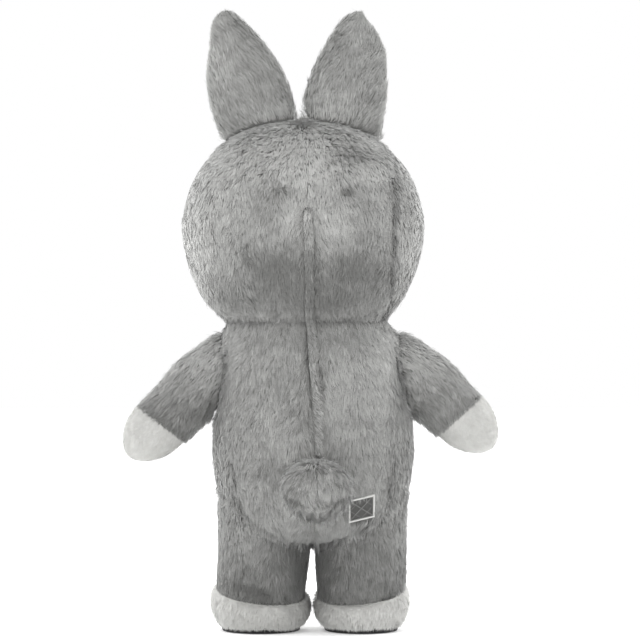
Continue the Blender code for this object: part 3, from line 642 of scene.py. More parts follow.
class Loft(Form):
    """Ellipses across an axis. A row holds place, centre, half width, back depth and front depth."""

    def __init__(self, rows: list[tuple[float, ...]], origin: Point | Array = (0.0, 0.0, 0.0),
                 axis: Point | Array = (0.0, 0.0, 1.0), back: Point = (0.0, 1.0, 0.0),
                 crease: float | None = None) -> None:
        """Reads the rows closely.

        Args:
            rows: Rows of place, centre, half width, back depth and front depth.
            origin: Where its axis starts.
            axis: The direction of its axis.
            back: The direction of angle 0.
            crease: Place at which its normals turn level, if it has one.
        """
        self.crease = crease
        curve = smooth_rows(sorted(rows))
        self.place, self.centre, self.half, self.deep, self.fore = curve.T
        steps = np.hypot(np.diff(self.place), np.diff(self.half))
        self.share = np.concatenate([[0.0], np.cumsum(steps)]) / steps.sum()
        self.origin = np.array(origin, dtype=float)
        self.axis = np.array(axis, dtype=float)
        self.back = np.array(back, dtype=float)
        self.side = np.cross(self.back, self.axis)

    def share_at(self, place: Array | float) -> Array:
        """Share of the form's profile at a place on its axis."""
        return np.interp(place, self.place, self.share)

    def ring(self, share: Array | float) -> list[Array]:
        """Place, centre, half width, back depth and front depth at a share of the profile."""
        columns = (self.place, self.centre, self.half, self.deep, self.fore)
        return [np.interp(share, self.share, column) for column in columns]

    def at(self, angle: Array, share: Array) -> Array:
        """Points of the form.

        Args:
            angle: Angles on the form.
            share: Shares of its profile.

        Returns:
            The points.
        """
        place, centre, half, deep, fore = self.ring(share)
        depth = np.where(np.cos(angle) > 0.0, deep, fore)
        across = (centre + half * np.sin(angle))[..., None]
        return (self.origin + self.axis * place[..., None] + self.side * across
                + self.back * (depth * np.cos(angle))[..., None])

    def normal(self, angle: Array, share: Array) -> Array:
        """Unit normals of the form, which turn level at the crease that two forms share.

        Args:
            angle: Angles on the form.
            share: Shares of its profile.

        Returns:
            The normals.
        """
        found = super().normal(angle, share)
        if self.crease is None:
            return found
        near = np.clip(np.abs(self.ring(share)[0] - self.crease) / CREASE_REACH, 0.0, 1.0)
        eased = near * near * (3.0 - 2.0 * near)
        level = np.stack([np.ones(near.shape), np.ones(near.shape), eased], axis=-1)
        return unit(found * level)

    def room(self, share: Array, normal: Array, wanted: float) -> Array:
        """How deep cloth and pile may go under the outside, less than wanted where the form is thin.

        Args:
            share: Shares of its profile.
            normal: Unit normals at those places.
            wanted: The depth that is wanted, in metres.

        Returns:
            The depth at each place, in metres.
        """
        _, _, half, deep, fore = self.ring(share)
        depth = np.minimum(deep, fore)
        thin = np.minimum(depth, depth ** 2 / half)
        leaning = np.sqrt(np.maximum(1e-6, 1.0 - (normal @ self.axis) ** 2))
        return np.minimum(wanted, THIN_SHARE * thin / leaning)

    def holds(self, points: Array, inset: float) -> Array:
        """Which points lie inside the form made smaller by inset.

        Args:
            points: Points, in an array whose last axis is x, y, z.
            inset: How much smaller, in metres.

        Returns:
            Whether each point is inside.
        """
        local = points - self.origin
        place = local @ self.axis
        _, centre, half, deep, fore = self.ring(self.share_at(place))
        along = local @ self.back
        depth = np.where(along > 0.0, deep, fore) - inset
        half = half - inset
        real = (half > 0.0) & (depth > 0.0)
        real &= (place > self.place[0] + inset) & (place < self.place[-1] - inset)
        across = (local @ self.side - centre) / np.where(real, half, 1.0)
        return real & (across ** 2 + (along / np.where(real, depth, 1.0)) ** 2 < 1.0)


class Foot(Form):
    """The white upper of a foot: it spreads from the ankle ring to the outline of the sole."""

    def __init__(self, side: Side, leg: Loft) -> None:
        """Reads the foot's profile closely.

        Args:
            side: The side that it is on.
            leg: The leg above it.
        """
        self.side = side
        self.leg = leg
        self.spread, self.height, self.girth = smooth_rows(list(FOOT_PROFILE)).T
        self.share = np.linspace(0.0, 1.0, SAMPLES)

    def at(self, angle: Array, share: Array) -> Array:
        """Points of the upper, at angles from the heel and shares of the way to the sole.

        Args:
            angle: Angles on the form.
            share: Shares of its profile.

        Returns:
            The points.
        """
        angle, share = np.broadcast_arrays(angle, share)
        ankle = self.leg.at(angle, ankle_share(self.leg, self.side, angle))
        outline = np.stack([FOOT_X[self.side] + FOOT_HALF_WIDTH[self.side] * np.sin(angle),
                            FOOT_Y + FOOT_HALF_LENGTH * np.cos(angle)], axis=-1)
        spread = np.interp(share, self.share, self.spread)[..., None]
        height = np.interp(share, self.share, self.height)
        girth = np.interp(share, self.share, self.girth)[..., None]
        middle = np.array([FOOT_X[self.side], FOOT_Y])
        flat = middle + (ankle[..., :2] * (1.0 - spread) + outline * spread - middle) * girth
        base = SOLE_THICKNESS + SEAM_GAP / 2
        up = base + (ankle[..., 2] - base) * height
        return np.concatenate([flat, up[..., None]], axis=-1)

    def turn(self) -> float:
        """The upper is read downwards, so its cross product points in."""
        return -1.0


def ankle_share(leg: Loft, side: Side, angle: Array) -> Array:
    """Share of a leg's profile at the ankle seam, which drops to the heel and rises on the outside."""
    rise = ANKLE_HEEL * np.cos(angle) + ANKLE_OUTSIDE * side.value * np.sin(angle)
    return leg.share_at(ANKLE_HEIGHT + rise)


def round_rows(rows: list[tuple[float, float, float]]) -> list[tuple[float, ...]]:
    """Rows of place, centre and radius as rows of a loft."""
    return [(place, centre, radius, radius, radius) for place, centre, radius in rows]


class Forms:
    """The soft forms of the suit."""

    def __init__(self) -> None:
        """Builds each form from the tables above."""
        self.head = Loft(list(HEAD_RINGS), crease=NECK_HEIGHT)
        self.body = Loft(list(BODY_RINGS), crease=NECK_HEIGHT)
        self.arms: dict[Side, Loft] = {}
        self.mitts: dict[Side, Loft] = {}
        self.ears: dict[Side, Loft] = {}
        self.legs: dict[Side, Loft] = {}
        self.feet: dict[Side, Foot] = {}
        for side in Side:
            arm, out = ARMS[side], side.value
            fall = math.radians(arm.fall)
            axis = np.array([out * math.cos(fall), 0.0, -math.sin(fall)])
            origin = np.array([arm.x, 0.0, arm.z])
            sleeve = [(place, out * centre, radius) for place, centre, radius in ARM_RINGS]
            mitt = [(place, out * centre, radius) for place, centre, radius in MITT_RINGS]
            self.arms[side] = Loft(round_rows(sleeve), origin, axis)
            self.mitts[side] = Loft(round_rows(mitt), origin + axis * arm.seam, axis)
            self.ears[side] = Loft([(z, x, half, thick, thick) for z, x, half, thick in EAR_RINGS[side]])
            x = LEG_X[side]
            leg = [(z, x + lean * (FOOT_X[side] - x), radius) for z, lean, radius in LEG_RINGS]
            self.legs[side] = Loft(round_rows(leg))
            self.feet[side] = Foot(side, self.legs[side])
        tail = [(out, 0.0, half, tall, tall) for out, half, tall in TAIL_RINGS]
        self.tail = Loft(tail, TAIL_CENTRE, (0.0, 1.0, 0.0), (0.0, 0.0, 1.0))


@dataclass(frozen=True)
class Pile:
    """How a stretch of fur is cut and brushed, in metres, and its density in strands a square metre.

    The roots lie depth under the form's outside and the strands stand up by rise. A lock is a tuft that is
    drawn together by gather. Stray and swirl turn single strands and whole stretches, guard is the share of
    longer hairs, flare lets strands lean off the cloth, and streak is how much the tone differs by lock.
    """

    length: float
    width: float
    density: float
    depth: float = 0.0095
    rise: float = 0.0100
    lock_length: float = 0.026
    lock_width: float = 0.0048
    gather: float = 0.28
    stray: float = 0.11
    swirl: float = 0.24
    swirl_size: float = 0.16
    guard: float = 0.05
    flare: float = 0.0
    streak: float = 0.090


HEAD_FUR = Pile(length=0.029, width=0.0015, density=165_000, stray=0.09, guard=0.02)
BACK_FUR = Pile(length=0.032, width=0.0015, density=158_000)
LIMB_FUR = Pile(length=0.030, width=0.0016, density=130_000)
FRONT_FUR = Pile(length=0.032, width=0.0020, density=76_000, lock_width=0.006, streak=0.05)
CHEEK_FUR = Pile(length=0.034, width=0.0022, density=84_000, rise=0.0078, lock_width=0.006, gather=0.12,
                 stray=0.06, guard=0.01, streak=0.03)
TAIL_FUR = Pile(length=0.035, width=0.0015, density=210_000, rise=0.014, lock_length=0.032, lock_width=0.0048,
                gather=0.45, stray=0.13, guard=0.10, flare=0.30, streak=0.22)
PLACKET_FUR = Pile(length=0.021, width=0.0013, density=190_000, depth=0.005, rise=0.007, streak=0.11)
MITT_FUR = Pile(length=0.014, width=0.0014, density=115_000, depth=0.006, rise=0.0065, gather=0.2, stray=0.35,
                streak=0.08)
FOOT_FUR = Pile(length=0.024, width=0.0016, density=105_000, rise=0.009, stray=0.18, flare=0.9, streak=0.08)


class Shade:
    """A number, colour or vector in a material's nodes, on which Python's operators build Math nodes."""

    def __init__(self, dye: "Dye", socket: bpy.types.NodeSocket) -> None:
        """Holds a socket and the dye that it belongs to."""
        self.dye = dye
        self.socket = socket

    def _math(self, operation: str, *values: "Shade | float") -> "Shade":
        """A Math node on these values."""
        return self.dye.node("ShaderNodeMath", {"operation": operation}, dict(enumerate(values)))

    def __add__(self, other: "Shade | float") -> "Shade":
        """Sum."""
        return self._math("ADD", self, other)

    def __sub__(self, other: "Shade | float") -> "Shade":
        """Difference."""
        return self._math("SUBTRACT", self, other)

    def __mul__(self, other: "Shade | float") -> "Shade":
        """Product."""
        return self._math("MULTIPLY", self, other)

    def __rsub__(self, other: float) -> "Shade":
        """Difference from a number."""
        return self._math("SUBTRACT", other, self)

    __radd__ = __add__
    __rmul__ = __mul__

    def clamped(self) -> "Shade":
        """The value kept between 0 and 1."""
        return self._math("MINIMUM", self._math("MAXIMUM", self, 0.0), 1.0)


class Dye:
    """Builds the nodes of one material, or of the world."""

    def __init__(self, name: str, world: bool = False) -> None:
        """Starts a material or a world.

        Args:
            name: Its name.
            world: Whether it is a world.
        """
        self.block = (bpy.data.worlds if world else bpy.data.materials).new(name)
        self.block.use_nodes = True
        self.tree = self.block.node_tree
        self.shader = self.tree.nodes["Background" if world else "Principled BSDF"]

    def node(self, kind: str, settings: dict | None = None, values: dict | None = None,
             output: str | int = 0) -> Shade:
        """Adds a node.

        Args:
            kind: The node's type.
            settings: Its properties, set first. A ramp's "stops" are pairs of place and colour.
            values: Numbers, colours or links of its sockets, by name or index.
            output: The output to use.

        Returns:
            That output.
        """
        node = self.tree.nodes.new(kind)
        for name, value in (settings or {}).items():
            if name == "stops":
                for index, (place, colour) in enumerate(value):
                    stops = node.color_ramp.elements
                    stop = stops[index] if index < len(stops) else stops.new(place)
                    stop.position = place
                    stop.color = (*colour, 1.0)
            else:
                setattr(node, name, value)
        for name, value in (values or {}).items():
            self.feed(node.inputs[name], value)
        return Shade(self, node.outputs[output])

    def feed(self, socket: bpy.types.NodeSocket, value: "Shade | float | Colour") -> None:
        """Links a value to a socket, or sets the socket to it.

        Args:
            socket: The socket.
            value: What it gets.
        """
        if isinstance(value, Shade):
            self.tree.links.new(value.socket, socket)
        elif isinstance(value, tuple) and socket.type == "RGBA":
            socket.default_value = (*value, 1.0)
        else:
            socket.default_value = value

    def mix(self, factor: "Shade | float", first: "Shade | Colour", second: "Shade | Colour") -> Shade:
        """Mixes two colours."""
        return self.node("ShaderNodeMix", {"data_type": "RGBA"}, {0: factor, 6: first, 7: second}, output=2)

    def noise(self, scale: float, detail: float = 3.0, roughness: float = 0.5) -> Shade:
        """A noise over the piece's own coordinates, from 0 to 1.

        Args:
            scale: How fine it is.
            detail: How many finer layers it has.
            roughness: How strong those are.

        Returns:
            The noise.
        """
        place = self.node("ShaderNodeTexCoord", output="Object")
        return self.node("ShaderNodeTexNoise", None,
                         {"Vector": place, "Scale": scale, "Detail": detail, "Roughness": roughness})

    def surface(self, **values: "Shade | float | Colour") -> bpy.types.ID:
        """Feeds the shader's sockets.

        Args:
            values: What each socket gets, under its name with underscores for spaces.

        Returns:
            The material or world.
        """
        for name, value in values.items():
            self.feed(self.shader.inputs[name.replace("_", " ").title().replace("Ior", "IOR")], value)
        return self.block


@dataclass(frozen=True)
class FurFinish:
    """Dyed strands, a little lighter or darker from lock to lock.

    They are painted darker towards the root, as shade deep in the pile, and in seams, creases and along the
    neck, as shade in the groove.
    """

    name: str
    # Colour at the root, which is painted shade deep in the pile
    root: Colour
    dark: Colour
    light: Colour
    sheen: float

    def make(self) -> bpy.types.Material:
        """Makes the material.

        Returns:
            The material.
        """
        dye = Dye(self.name)
        tone = dye.node("ShaderNodeVertexColor", {"layer_name": TONE}, output="Color")
        parts = dye.node("ShaderNodeSeparateColor", None, {0: tone})
        shade, along, valley = (Shade(dye, parts.socket.node.outputs[i]) for i in range(3))
        blotch = dye.noise(scale=7.0, detail=4.0)
        level = (shade + (blotch - 0.5) * 0.3).clamped()
        colour = dye.mix(level, self.dark, self.light)
        # Painted shade: darker towards the root, as deep in the pile, and in seam grooves, creases and along
        # the neck
        lit = dye.mix((along * 0.7 + 0.35 - valley * 0.6).clamped(), self.root, colour)
        return dye.surface(base_color=lit, roughness=0.62 + blotch * 0.25, sheen_weight=self.sheen,
                           sheen_roughness=0.45, specular_ior_level=0.25)


@dataclass(frozen=True)
class ClothFinish:
    """The knitted backing under the fur."""

    name: str
    dark: Colour
    light: Colour

    def make(self) -> bpy.types.Material:
        """Makes the material.

        Returns:
            The material.
        """
        dye = Dye(self.name)
        knit = dye.noise(scale=420.0, detail=2.0)
        blotch = dye.noise(scale=11.0)
        relief = dye.node("ShaderNodeBump", None, {"Strength": 0.5, "Distance": 0.001, "Height": knit})
        colour = dye.mix((blotch * 0.6 + knit * 0.4).clamped(), self.dark, self.light)
        return dye.surface(base_color=colour, roughness=0.85 + knit * 0.1, normal=relief,
                           specular_ior_level=0.2)


@dataclass(frozen=True)
class RubberFinish:
    """Black sole rubber with a fine pebble and scuffs."""

    name: str = "sole_rubber"

    def make(self) -> bpy.types.Material:
        """Makes the material.

        Returns:
            The material.
        """
        dye = Dye(self.name)
        pebble = dye.noise(scale=260.0, detail=2.0)
        scuff = dye.noise(scale=24.0, detail=6.0, roughness=0.7)
        relief = dye.node("ShaderNodeBump", None, {"Strength": 0.35, "Distance": 0.0008, "Height": pebble})
        colour = dye.mix((scuff * 1.4 - 0.5).clamped(), (0.010, 0.010, 0.011), (0.040, 0.040, 0.042))
        return dye.surface(base_color=colour, roughness=0.60 + scuff * 0.3, normal=relief)


@dataclass(frozen=True)
class TapeFinish:
    """Woven tape or thread, with ribs across it."""

    name: str
    dark: Colour
    light: Colour
    ribs: float

    def make(self) -> bpy.types.Material:
        """Makes the material.

        Returns:
            The material.
        """
        dye = Dye(self.name)
        place = dye.node("ShaderNodeTexCoord", output="Object")
        rib = dye.node("ShaderNodeTexWave", None, {"Vector": place, "Scale": self.ribs, "Distortion": 0.4})
        speck = dye.noise(scale=300.0)
        relief = dye.node("ShaderNodeBump", None, {"Strength": 0.4, "Distance": 0.0005, "Height": rib})
        colour = dye.mix((rib * 0.5 + speck * 0.5).clamped(), self.dark, self.light)
        return dye.surface(base_color=colour, roughness=0.70 + speck * 0.15, normal=relief)


@dataclass(frozen=True)
class GlossFinish:
    """Moulded gloss plastic of the eyes and the nose."""

    name: str
    colour: Colour
    hot: Colour

    def make(self) -> bpy.types.Material:
        """Makes the material.

        Returns:
            The material.
        """
        dye = Dye(self.name)
        haze = dye.noise(scale=30.0, detail=5.0)
        colour = dye.mix((haze * 1.5 - 0.4).clamped(), self.colour, self.hot)
        return dye.surface(base_color=colour, roughness=0.12 + haze * 0.12, coat_weight=0.4)


# The root colours are painted shade, deep in the pile
GREY_FUR = FurFinish("grey_fur_strands", root=(0.125, 0.125, 0.119), dark=(0.175, 0.176, 0.170),
                     light=(0.545, 0.547, 0.533), sheen=0.6)
WHITE_FUR = FurFinish("white_fur_strands", root=(0.47, 0.47, 0.45), dark=(0.60, 0.60, 0.58),
                      light=(0.86, 0.86, 0.84), sheen=0.25)
GREY_CLOTH = ClothFinish("grey_knit_backing", (0.130, 0.130, 0.125), (0.190, 0.190, 0.183))
WHITE_CLOTH = ClothFinish("white_knit_backing", (0.56, 0.56, 0.54), (0.70, 0.70, 0.68))
GREY_THREAD = TapeFinish("grey_thread", (0.16, 0.16, 0.155), (0.26, 0.26, 0.25), ribs=900.0)
GREY_CORD = TapeFinish("grey_cord", (0.15, 0.15, 0.146), (0.26, 0.26, 0.253), ribs=160.0)
DARK_NET = TapeFinish("dark_net", (0.060, 0.060, 0.057), (0.170, 0.170, 0.164), ribs=90.0)
PALE_TAPE = TapeFinish("pale_tape", (0.40, 0.40, 0.39), (0.68, 0.68, 0.66), ribs=160.0)
MOUTH_NET = TapeFinish("mouth_net", (0.030, 0.030, 0.029), (0.078, 0.078, 0.075), ribs=620.0)
BUTTON_GLOSS = GlossFinish("button_gloss", (0.010, 0.009, 0.009), (0.022, 0.020, 0.020))


def mesh_from(shape: bmesh.types.BMesh, name: str) -> bpy.types.Mesh:
    """Turns a working mesh into a piece's mesh.

    Args:
        shape: The working mesh, which is freed.
        name: Its name.

    Returns:
        The mesh.
    """
    data = bpy.data.meshes.new(name)
    shape.to_mesh(data)
    shape.free()
    return data


def build_mesh(name: str, points: Array, quads: Array = NO_QUADS, tris: Array = NO_TRIS) -> bpy.types.Mesh:
    """A mesh straight from arrays.

    Args:
        name: The mesh's name.
        points: Its vertices.
        quads: Rows of four vertex numbers.
        tris: Rows of three vertex numbers.

    Returns:
        The mesh.
    """
    mesh = bpy.data.meshes.new(name)
    mesh.vertices.add(len(points))
    mesh.vertices.foreach_set("co", points.astype(np.float32).ravel())
    corners = np.concatenate([quads.ravel(), tris.ravel()]).astype(np.int32)
    mesh.loops.add(len(corners))
    mesh.loops.foreach_set("vertex_index", corners)
    mesh.polygons.add(len(quads) + len(tris))
    starts = np.concatenate([np.arange(len(quads)) * 4, len(quads) * 4 + np.arange(len(tris)) * 3])
    mesh.polygons.foreach_set("loop_start", starts.astype(np.int32))
    mesh.update(calc_edges=True)
    return mesh


def place_piece(name: str, mesh: bpy.types.Mesh, material: bpy.types.Material,
                nodes: tuple[str, ...] = ()) -> bpy.types.Object:
    """Puts a piece in the scene.

    Args:
        name: The piece's name.
        mesh: Its mesh, in the row frame.
        material: Its finish.
        nodes: The CAD nodes that it stands for.

    Returns:
        The piece, riding on the suit.
    """
    piece = bpy.data.objects.new(name, mesh)
    bpy.context.scene.collection.objects.link(piece)
    piece.data.materials.append(material)
    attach(piece, "root")
    if nodes:
        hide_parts(*nodes)
    LOG.info("%s: %d faces", name, len(mesh.polygons))
    return piece


def edge_runs(points: Array) -> tuple[Array, Array]:
    """Distance of each point of a grid from the grid's first row, and from its last.

    Args:
        points: The grid's points, by row and column.

    Returns:
        Both distances, for each point.
    """
    steps = np.linalg.norm(np.diff(points, axis=0), axis=2)
    run = np.vstack([np.zeros(points.shape[1]), np.cumsum(steps, axis=0)])
    return run, run[-1] - run


def draw_in(points: Array) -> Array:
    """A grid with its first and last row moved in by half the seam gap.

    Args:
        points: The grid's points, by row and column.

    Returns:
        The moved grid.
    """
    moved = points.copy()
    for edge, inner in ((0, 1), (-1, -2)):
        moved[edge] += unit(points[inner] - points[edge]) * SEAM_GAP / 2
    return moved


@dataclass
class Panel:
    """One sewn panel, read finely from its form between its seams."""

    node: str
    form: Form
    where: PanelMap
    rows: Array
    cols: Array
    pile: Pile
    flow: Flow
    seams: tuple[bool, bool, bool, bool] = NO_VALLEYS
    inside: tuple[Loft, ...] = ()
    white: bool = False
    sink: float = 0.0
    dip: float = 1.0
    # How much lighter the fur is painted towards the side seams, as rim light
    rim: float = 0.0
    trim: float = 0.0
    bare: Callable[[Array, float], Array] | None = None

    def __post_init__(self) -> None:
        """Works out the panel's grids."""
        row, col = np.meshgrid(self.rows, self.cols, indexing="ij")
        angle, share = self.where(row, col)
        self.outside = self.form.at(angle, share)
        self.normals = self.form.normal(angle, share)
        self.down_run, self.up_run = edge_runs(self.outside)
        low, high = edge_runs(self.outside.transpose(1, 0, 2))
        self.across_run, far_side = low.T, high.T
        self.side_run = np.minimum(self.across_run, far_side)
        away = np.ones(row.shape)
        for wanted, distance in zip(self.seams, (self.down_run, self.up_run, self.across_run, far_side)):
            if wanted:
                away = np.minimum(away, distance)
        self.away = away
        self.shows = seam_shows(self.outside) * self.dip
        groove = GROOVE_DEPTH * np.exp(-(away / GROOVE_WIDTH) ** 2) * self.shows
        # How deep seams and creases dip the cloth; the fur is also painted darker by it, as shade in the dip
        self.valley = groove if self.white else np.maximum(groove, crease_depth(self.outside))
        room = self.form.room(share, self.normals, self.pile.depth + CLOTH)
        self.lift = room * self.pile.depth / (self.pile.depth + CLOTH)
        drawn = draw_in(draw_in(self.outside).transpose(1, 0, 2)).transpose(1, 0, 2)
        self.base = drawn - self.normals * (self.valley + self.lift + self.sink)[..., None]
        self.lining = self.base - self.normals * (room - self.lift)[..., None]
        middle = (self.outside[:-1, :-1] + self.outside[1:, 1:]) / 2
        self.kept = np.ones(middle.shape[:2], dtype=bool)
        for form in self.inside:
            self.kept &= ~form.holds(middle, WALL / 2)
        if self.bare is not None:
            self.kept &= ~self.bare(middle, BARE_OVERLAP)

    def cell_areas(self) -> Array:
        """Area of each cell of the cloth that is kept.

        Returns:
            The area of each cell, or 0 where the cloth is cut away.
        """
        across = self.base[:-1, 1:] - self.base[:-1, :-1]
        along = self.base[1:, :-1] - self.base[:-1, :-1]
        other = self.base[1:, 1:] - self.base[1:, :-1]
        down = self.base[1:, 1:] - self.base[:-1, 1:]
        doubled = (np.linalg.norm(np.cross(across, along), axis=-1)
                   + np.linalg.norm(np.cross(other, down), axis=-1))
        return doubled / 2 * self.kept

    def cloth(self, material: bpy.types.Material) -> bpy.types.Object:
        """Args:
            material: Its finish.

        Returns:
            The piece.
        """
        rows, cols = self.base.shape[:2]
        number = np.arange(rows * cols).reshape(rows, cols)
        i, j = np.nonzero(self.kept)
        outer = np.stack([number[i, j], number[i, j + 1], number[i + 1, j + 1], number[i + 1, j]], axis=1)
        total = rows * cols
        rims = []
        fringe = np.pad(self.kept, 1)
        neighbours = ((-1, 0, (0, 0), (0, 1)), (1, 0, (1, 1), (1, 0)), (0, -1, (1, 0), (0, 0)),
                      (0, 1, (0, 1), (1, 1)))
        for down, right, first, last in neighbours:
            open_edge = ~fringe[i + 1 + down, j + 1 + right]
            a = number[i[open_edge] + first[0], j[open_edge] + first[1]]
            b = number[i[open_edge] + last[0], j[open_edge] + last[1]]
            rims.append(np.stack([b, a, a + total, b + total], axis=1))
        quads = np.concatenate([outer, outer[:, ::-1] + total, *rims])
        points = np.concatenate([self.base.reshape(-1, 3), self.lining.reshape(-1, 3)])
        used, quads = np.unique(quads, return_inverse=True)
        mesh = build_mesh(self.node + "_cloth", points[used], quads.reshape(-1, 4))
        corner = self.base[0, 0]
        if self.normals[0, 0] @ np.cross(self.base[0, 1] - corner, self.base[1, 0] - corner) < 0.0:
            mesh.flip_normals()
        mesh.shade_smooth()
        piece = place_piece(self.node + "_cloth", mesh, material, (self.node,))
        area = float(self.cell_areas().sum())
        return piece


@dataclass(frozen=True)
class Groom:
    """What all the fur shares. Lengths are in metres, and the rest are shares.

    Pairs are the least and most that a strand may differ by. What is called matted is what ruffling adds,
    and what is called seam, neck or end is what happens to the fur at those lines, where it is also painted
    darker as shade. "along" says how far up its strand each of a blade's four points counts as, for its
    colour and the painted shade towards the root.
    """

    lengths: tuple[float, float] = (0.72, 1.15)
    rises: tuple[float, float] = (0.45, 1.12)
    widths: tuple[float, float] = (0.7, 1.25)
    gathers: tuple[float, float] = (0.5, 1.1)
    middle_along: float = 0.45
    middle_up: float = 0.72
    middle_pull: float = 0.35
    tip_along: float = 0.97
    hang_from: float = 0.2
    hang_most: float = 0.6
    end_trim: float = 0.8
    end_trim_above: float = 0.009
    end_trim_reach: float = 0.008
    end_line: float = 0.7
    end_line_reach: float = 0.0025
    beside_matted: float = 0.5
    beside_flare: float = 0.55
    least_calm: float = 0.3
    curl: float = 0.65
    curl_size: float = 0.035
    stray_matted: float = 0.18
    hidden_inset: float = 0.002
    overhang: float = 0.018
    overhang_cut: float = 0.88
    seam_width: float = 0.0065
    seam_wander: float = 0.002
    neck_wander: float = 0.004
    neck_depth: float = 0.55
    neck_wave: float = 0.25
    neck_width: float = 0.012
    seam_shorter: float = 0.45
    matted_shorter: float = 0.25
    trim_shorter: float = 0.7
    seam_flatter: float = 0.3
    matted_higher: float = 0.35
    hang_higher: float = 1.8
    guard_higher: float = 1.55
    guard_gather: float = 0.2
    matted_gather: float = 0.28
    droop: float = 0.6
    roll: float = 0.7
    sunk: float = 0.0008
    own_face: float = 0.16
    uneven: float = 0.03
    matted_tone: float = 0.55
    strand_tone: float = 0.055
    broad_tone: float = 0.10
    fine_tone: float = 0.07
    valley_full: float = 0.016
    seam_dark: float = 0.8
    along: tuple[float, ...] = (0.0, 0.6, 0.6, 1.0)
    along_matted: tuple[float, ...] = (0.45, 0.2, 0.2, 0.0)


GROOM = Groom()


@dataclass
class Strands:
    """Roots of fur on a panel, one row for each strand."""

    base: Array
    normal: Array
    way: Array
    lift: Array
    near: Array
    valley: Array
    ruffle: Array
    stand: Array
    trim: Array
    tone: Array
    lock: Array


def roots_on(panel: Panel, rng: np.random.Generator, group: int) -> Strands:
    """Scatters roots over a panel.

    Args:
        panel: The panel.
        rng: Source of random numbers.
        group: Number of the panel in its coat, which keeps its locks apart from the others'.

    Returns:
        The roots that no other form hides.
    """
    areas = panel.cell_areas().ravel()
    count = int(areas.sum() * panel.pile.density)
    cell = rng.choice(len(areas), count, p=areas / areas.sum())
    cols = panel.base.shape[1] - 1
    i, j = cell // cols, cell % cols
    u, v = rng.random((2, count, 1))

    def read(grid: Array) -> Array:
        """Values of a grid at the roots.

        Args:
            grid: The grid, by row and column.

        Returns:
            A value or a row for each root.
        """
        values = grid if grid.ndim == 3 else grid[..., None]
        top = values[i, j] * (1 - u) + values[i, j + 1] * u
        low = values[i + 1, j] * (1 - u) + values[i + 1, j + 1] * u
        found = top * (1 - v) + low * v
        return found if grid.ndim == 3 else found[:, 0]

    base, normal = read(panel.base), unit(read(panel.normals))
    outer = base + normal * read(panel.lift)[:, None]
    pile = panel.pile
    tone, ruffle, stand = patches_at(base)
    # Painted rim light: the fur is lighter towards the panel's side seams
    tone = tone + panel.rim * np.exp(-(read(panel.side_run) / RIM_REACH) ** 2)
    flare = np.full((count, 1), pile.flare)
    trim = panel.trim * np.exp(-(read(panel.up_run) / TRIM_REACH) ** 2)
    trim = np.maximum(trim, GROOM.end_trim * over_end(base, GROOM.end_trim_above, GROOM.end_trim_reach))
    calm = np.clip((SHOULDER_TOP - base[:, 2]) / SHOULDER_FADE, GROOM.least_calm, 1.0)
    calm = np.where(base[:, 2] < NECK_HEIGHT, calm, 1.0)
    for form in panel.inside:
        beside = form.holds(outer, -LEAN_REACH)
        ruffle = np.where(beside, np.maximum(ruffle, GROOM.beside_matted * calm), ruffle)
        flare = np.where(beside[:, None], np.maximum(flare, GROOM.beside_flare * calm[:, None]), flare)
    way = panel.flow(base, read(np.gradient(panel.outside, axis=0)))
    swirl = np.stack([ripple(base, pile.swirl_size, seed) for seed in SWIRL_SEEDS], axis=1) * pile.swirl
    curl = np.stack([ripple(base, GROOM.curl_size, seed) for seed in CURL_SEEDS], axis=1)
    curl = curl * ruffle[:, None] * GROOM.curl
    stray = rng.normal(size=(count, 3)) * (pile.stray + GROOM.stray_matted * ruffle[:, None])
    way = unit(way) + swirl + curl + stray
    lean = (way * normal).sum(axis=1, keepdims=True)
    way = unit(way - normal * np.where(lean > 0.0, lean * (1.0 - flare), lean))
    row = np.floor(read(panel.down_run) / pile.lock_length + 0.6 * Wave.LOCK_LENGTH.at(base))
    place = read(panel.across_run) / pile.lock_width + 0.9 * Wave.LOCK_WIDTH.at(base)
    lock = group * 10_000_000 + row.astype(int) * 3_000 + np.floor(place + 0.5 * (row % 2)).astype(int)
    shown = np.ones(count, dtype=bool)
    for form in panel.inside:
        shown &= ~form.holds(outer, GROOM.hidden_inset)
    if panel.bare is not None:
        over = panel.bare(outer + UP * -GROOM.overhang, 0.0)
        shown &= ~panel.bare(outer, 0.0) & ~(over & (rng.random(count) < GROOM.overhang_cut))
    # Nearness to a seam, to the strip's stitched top end and to the neck: the fur there is shorter and
    # flatter, and painted darker as shade in the groove
    width = GROOM.seam_width + GROOM.seam_wander * Wave.SEAM_WIDTH.at(base)
    near = np.exp(-(read(panel.away) / width) ** 2) * read(panel.shows)
    near = np.maximum(near, GROOM.end_line * over_end(base, 0.0, GROOM.end_line_reach))
    if panel.form.crease is not None:
        off = outer[:, 2] - panel.form.crease + GROOM.neck_wander * Wave.NECK_LINE.at(base)
        dark = GROOM.neck_depth + GROOM.neck_wave * Wave.NECK_DEPTH.at(base)
        near = np.maximum(near, dark * np.exp(-(off / GROOM.neck_width) ** 2))
    found = Strands(base, normal, way, read(panel.lift), near, read(panel.valley), ruffle, stand, trim,
                    tone, lock)
    return Strands(**{name: values[shown] for name, values in vars(found).items()})


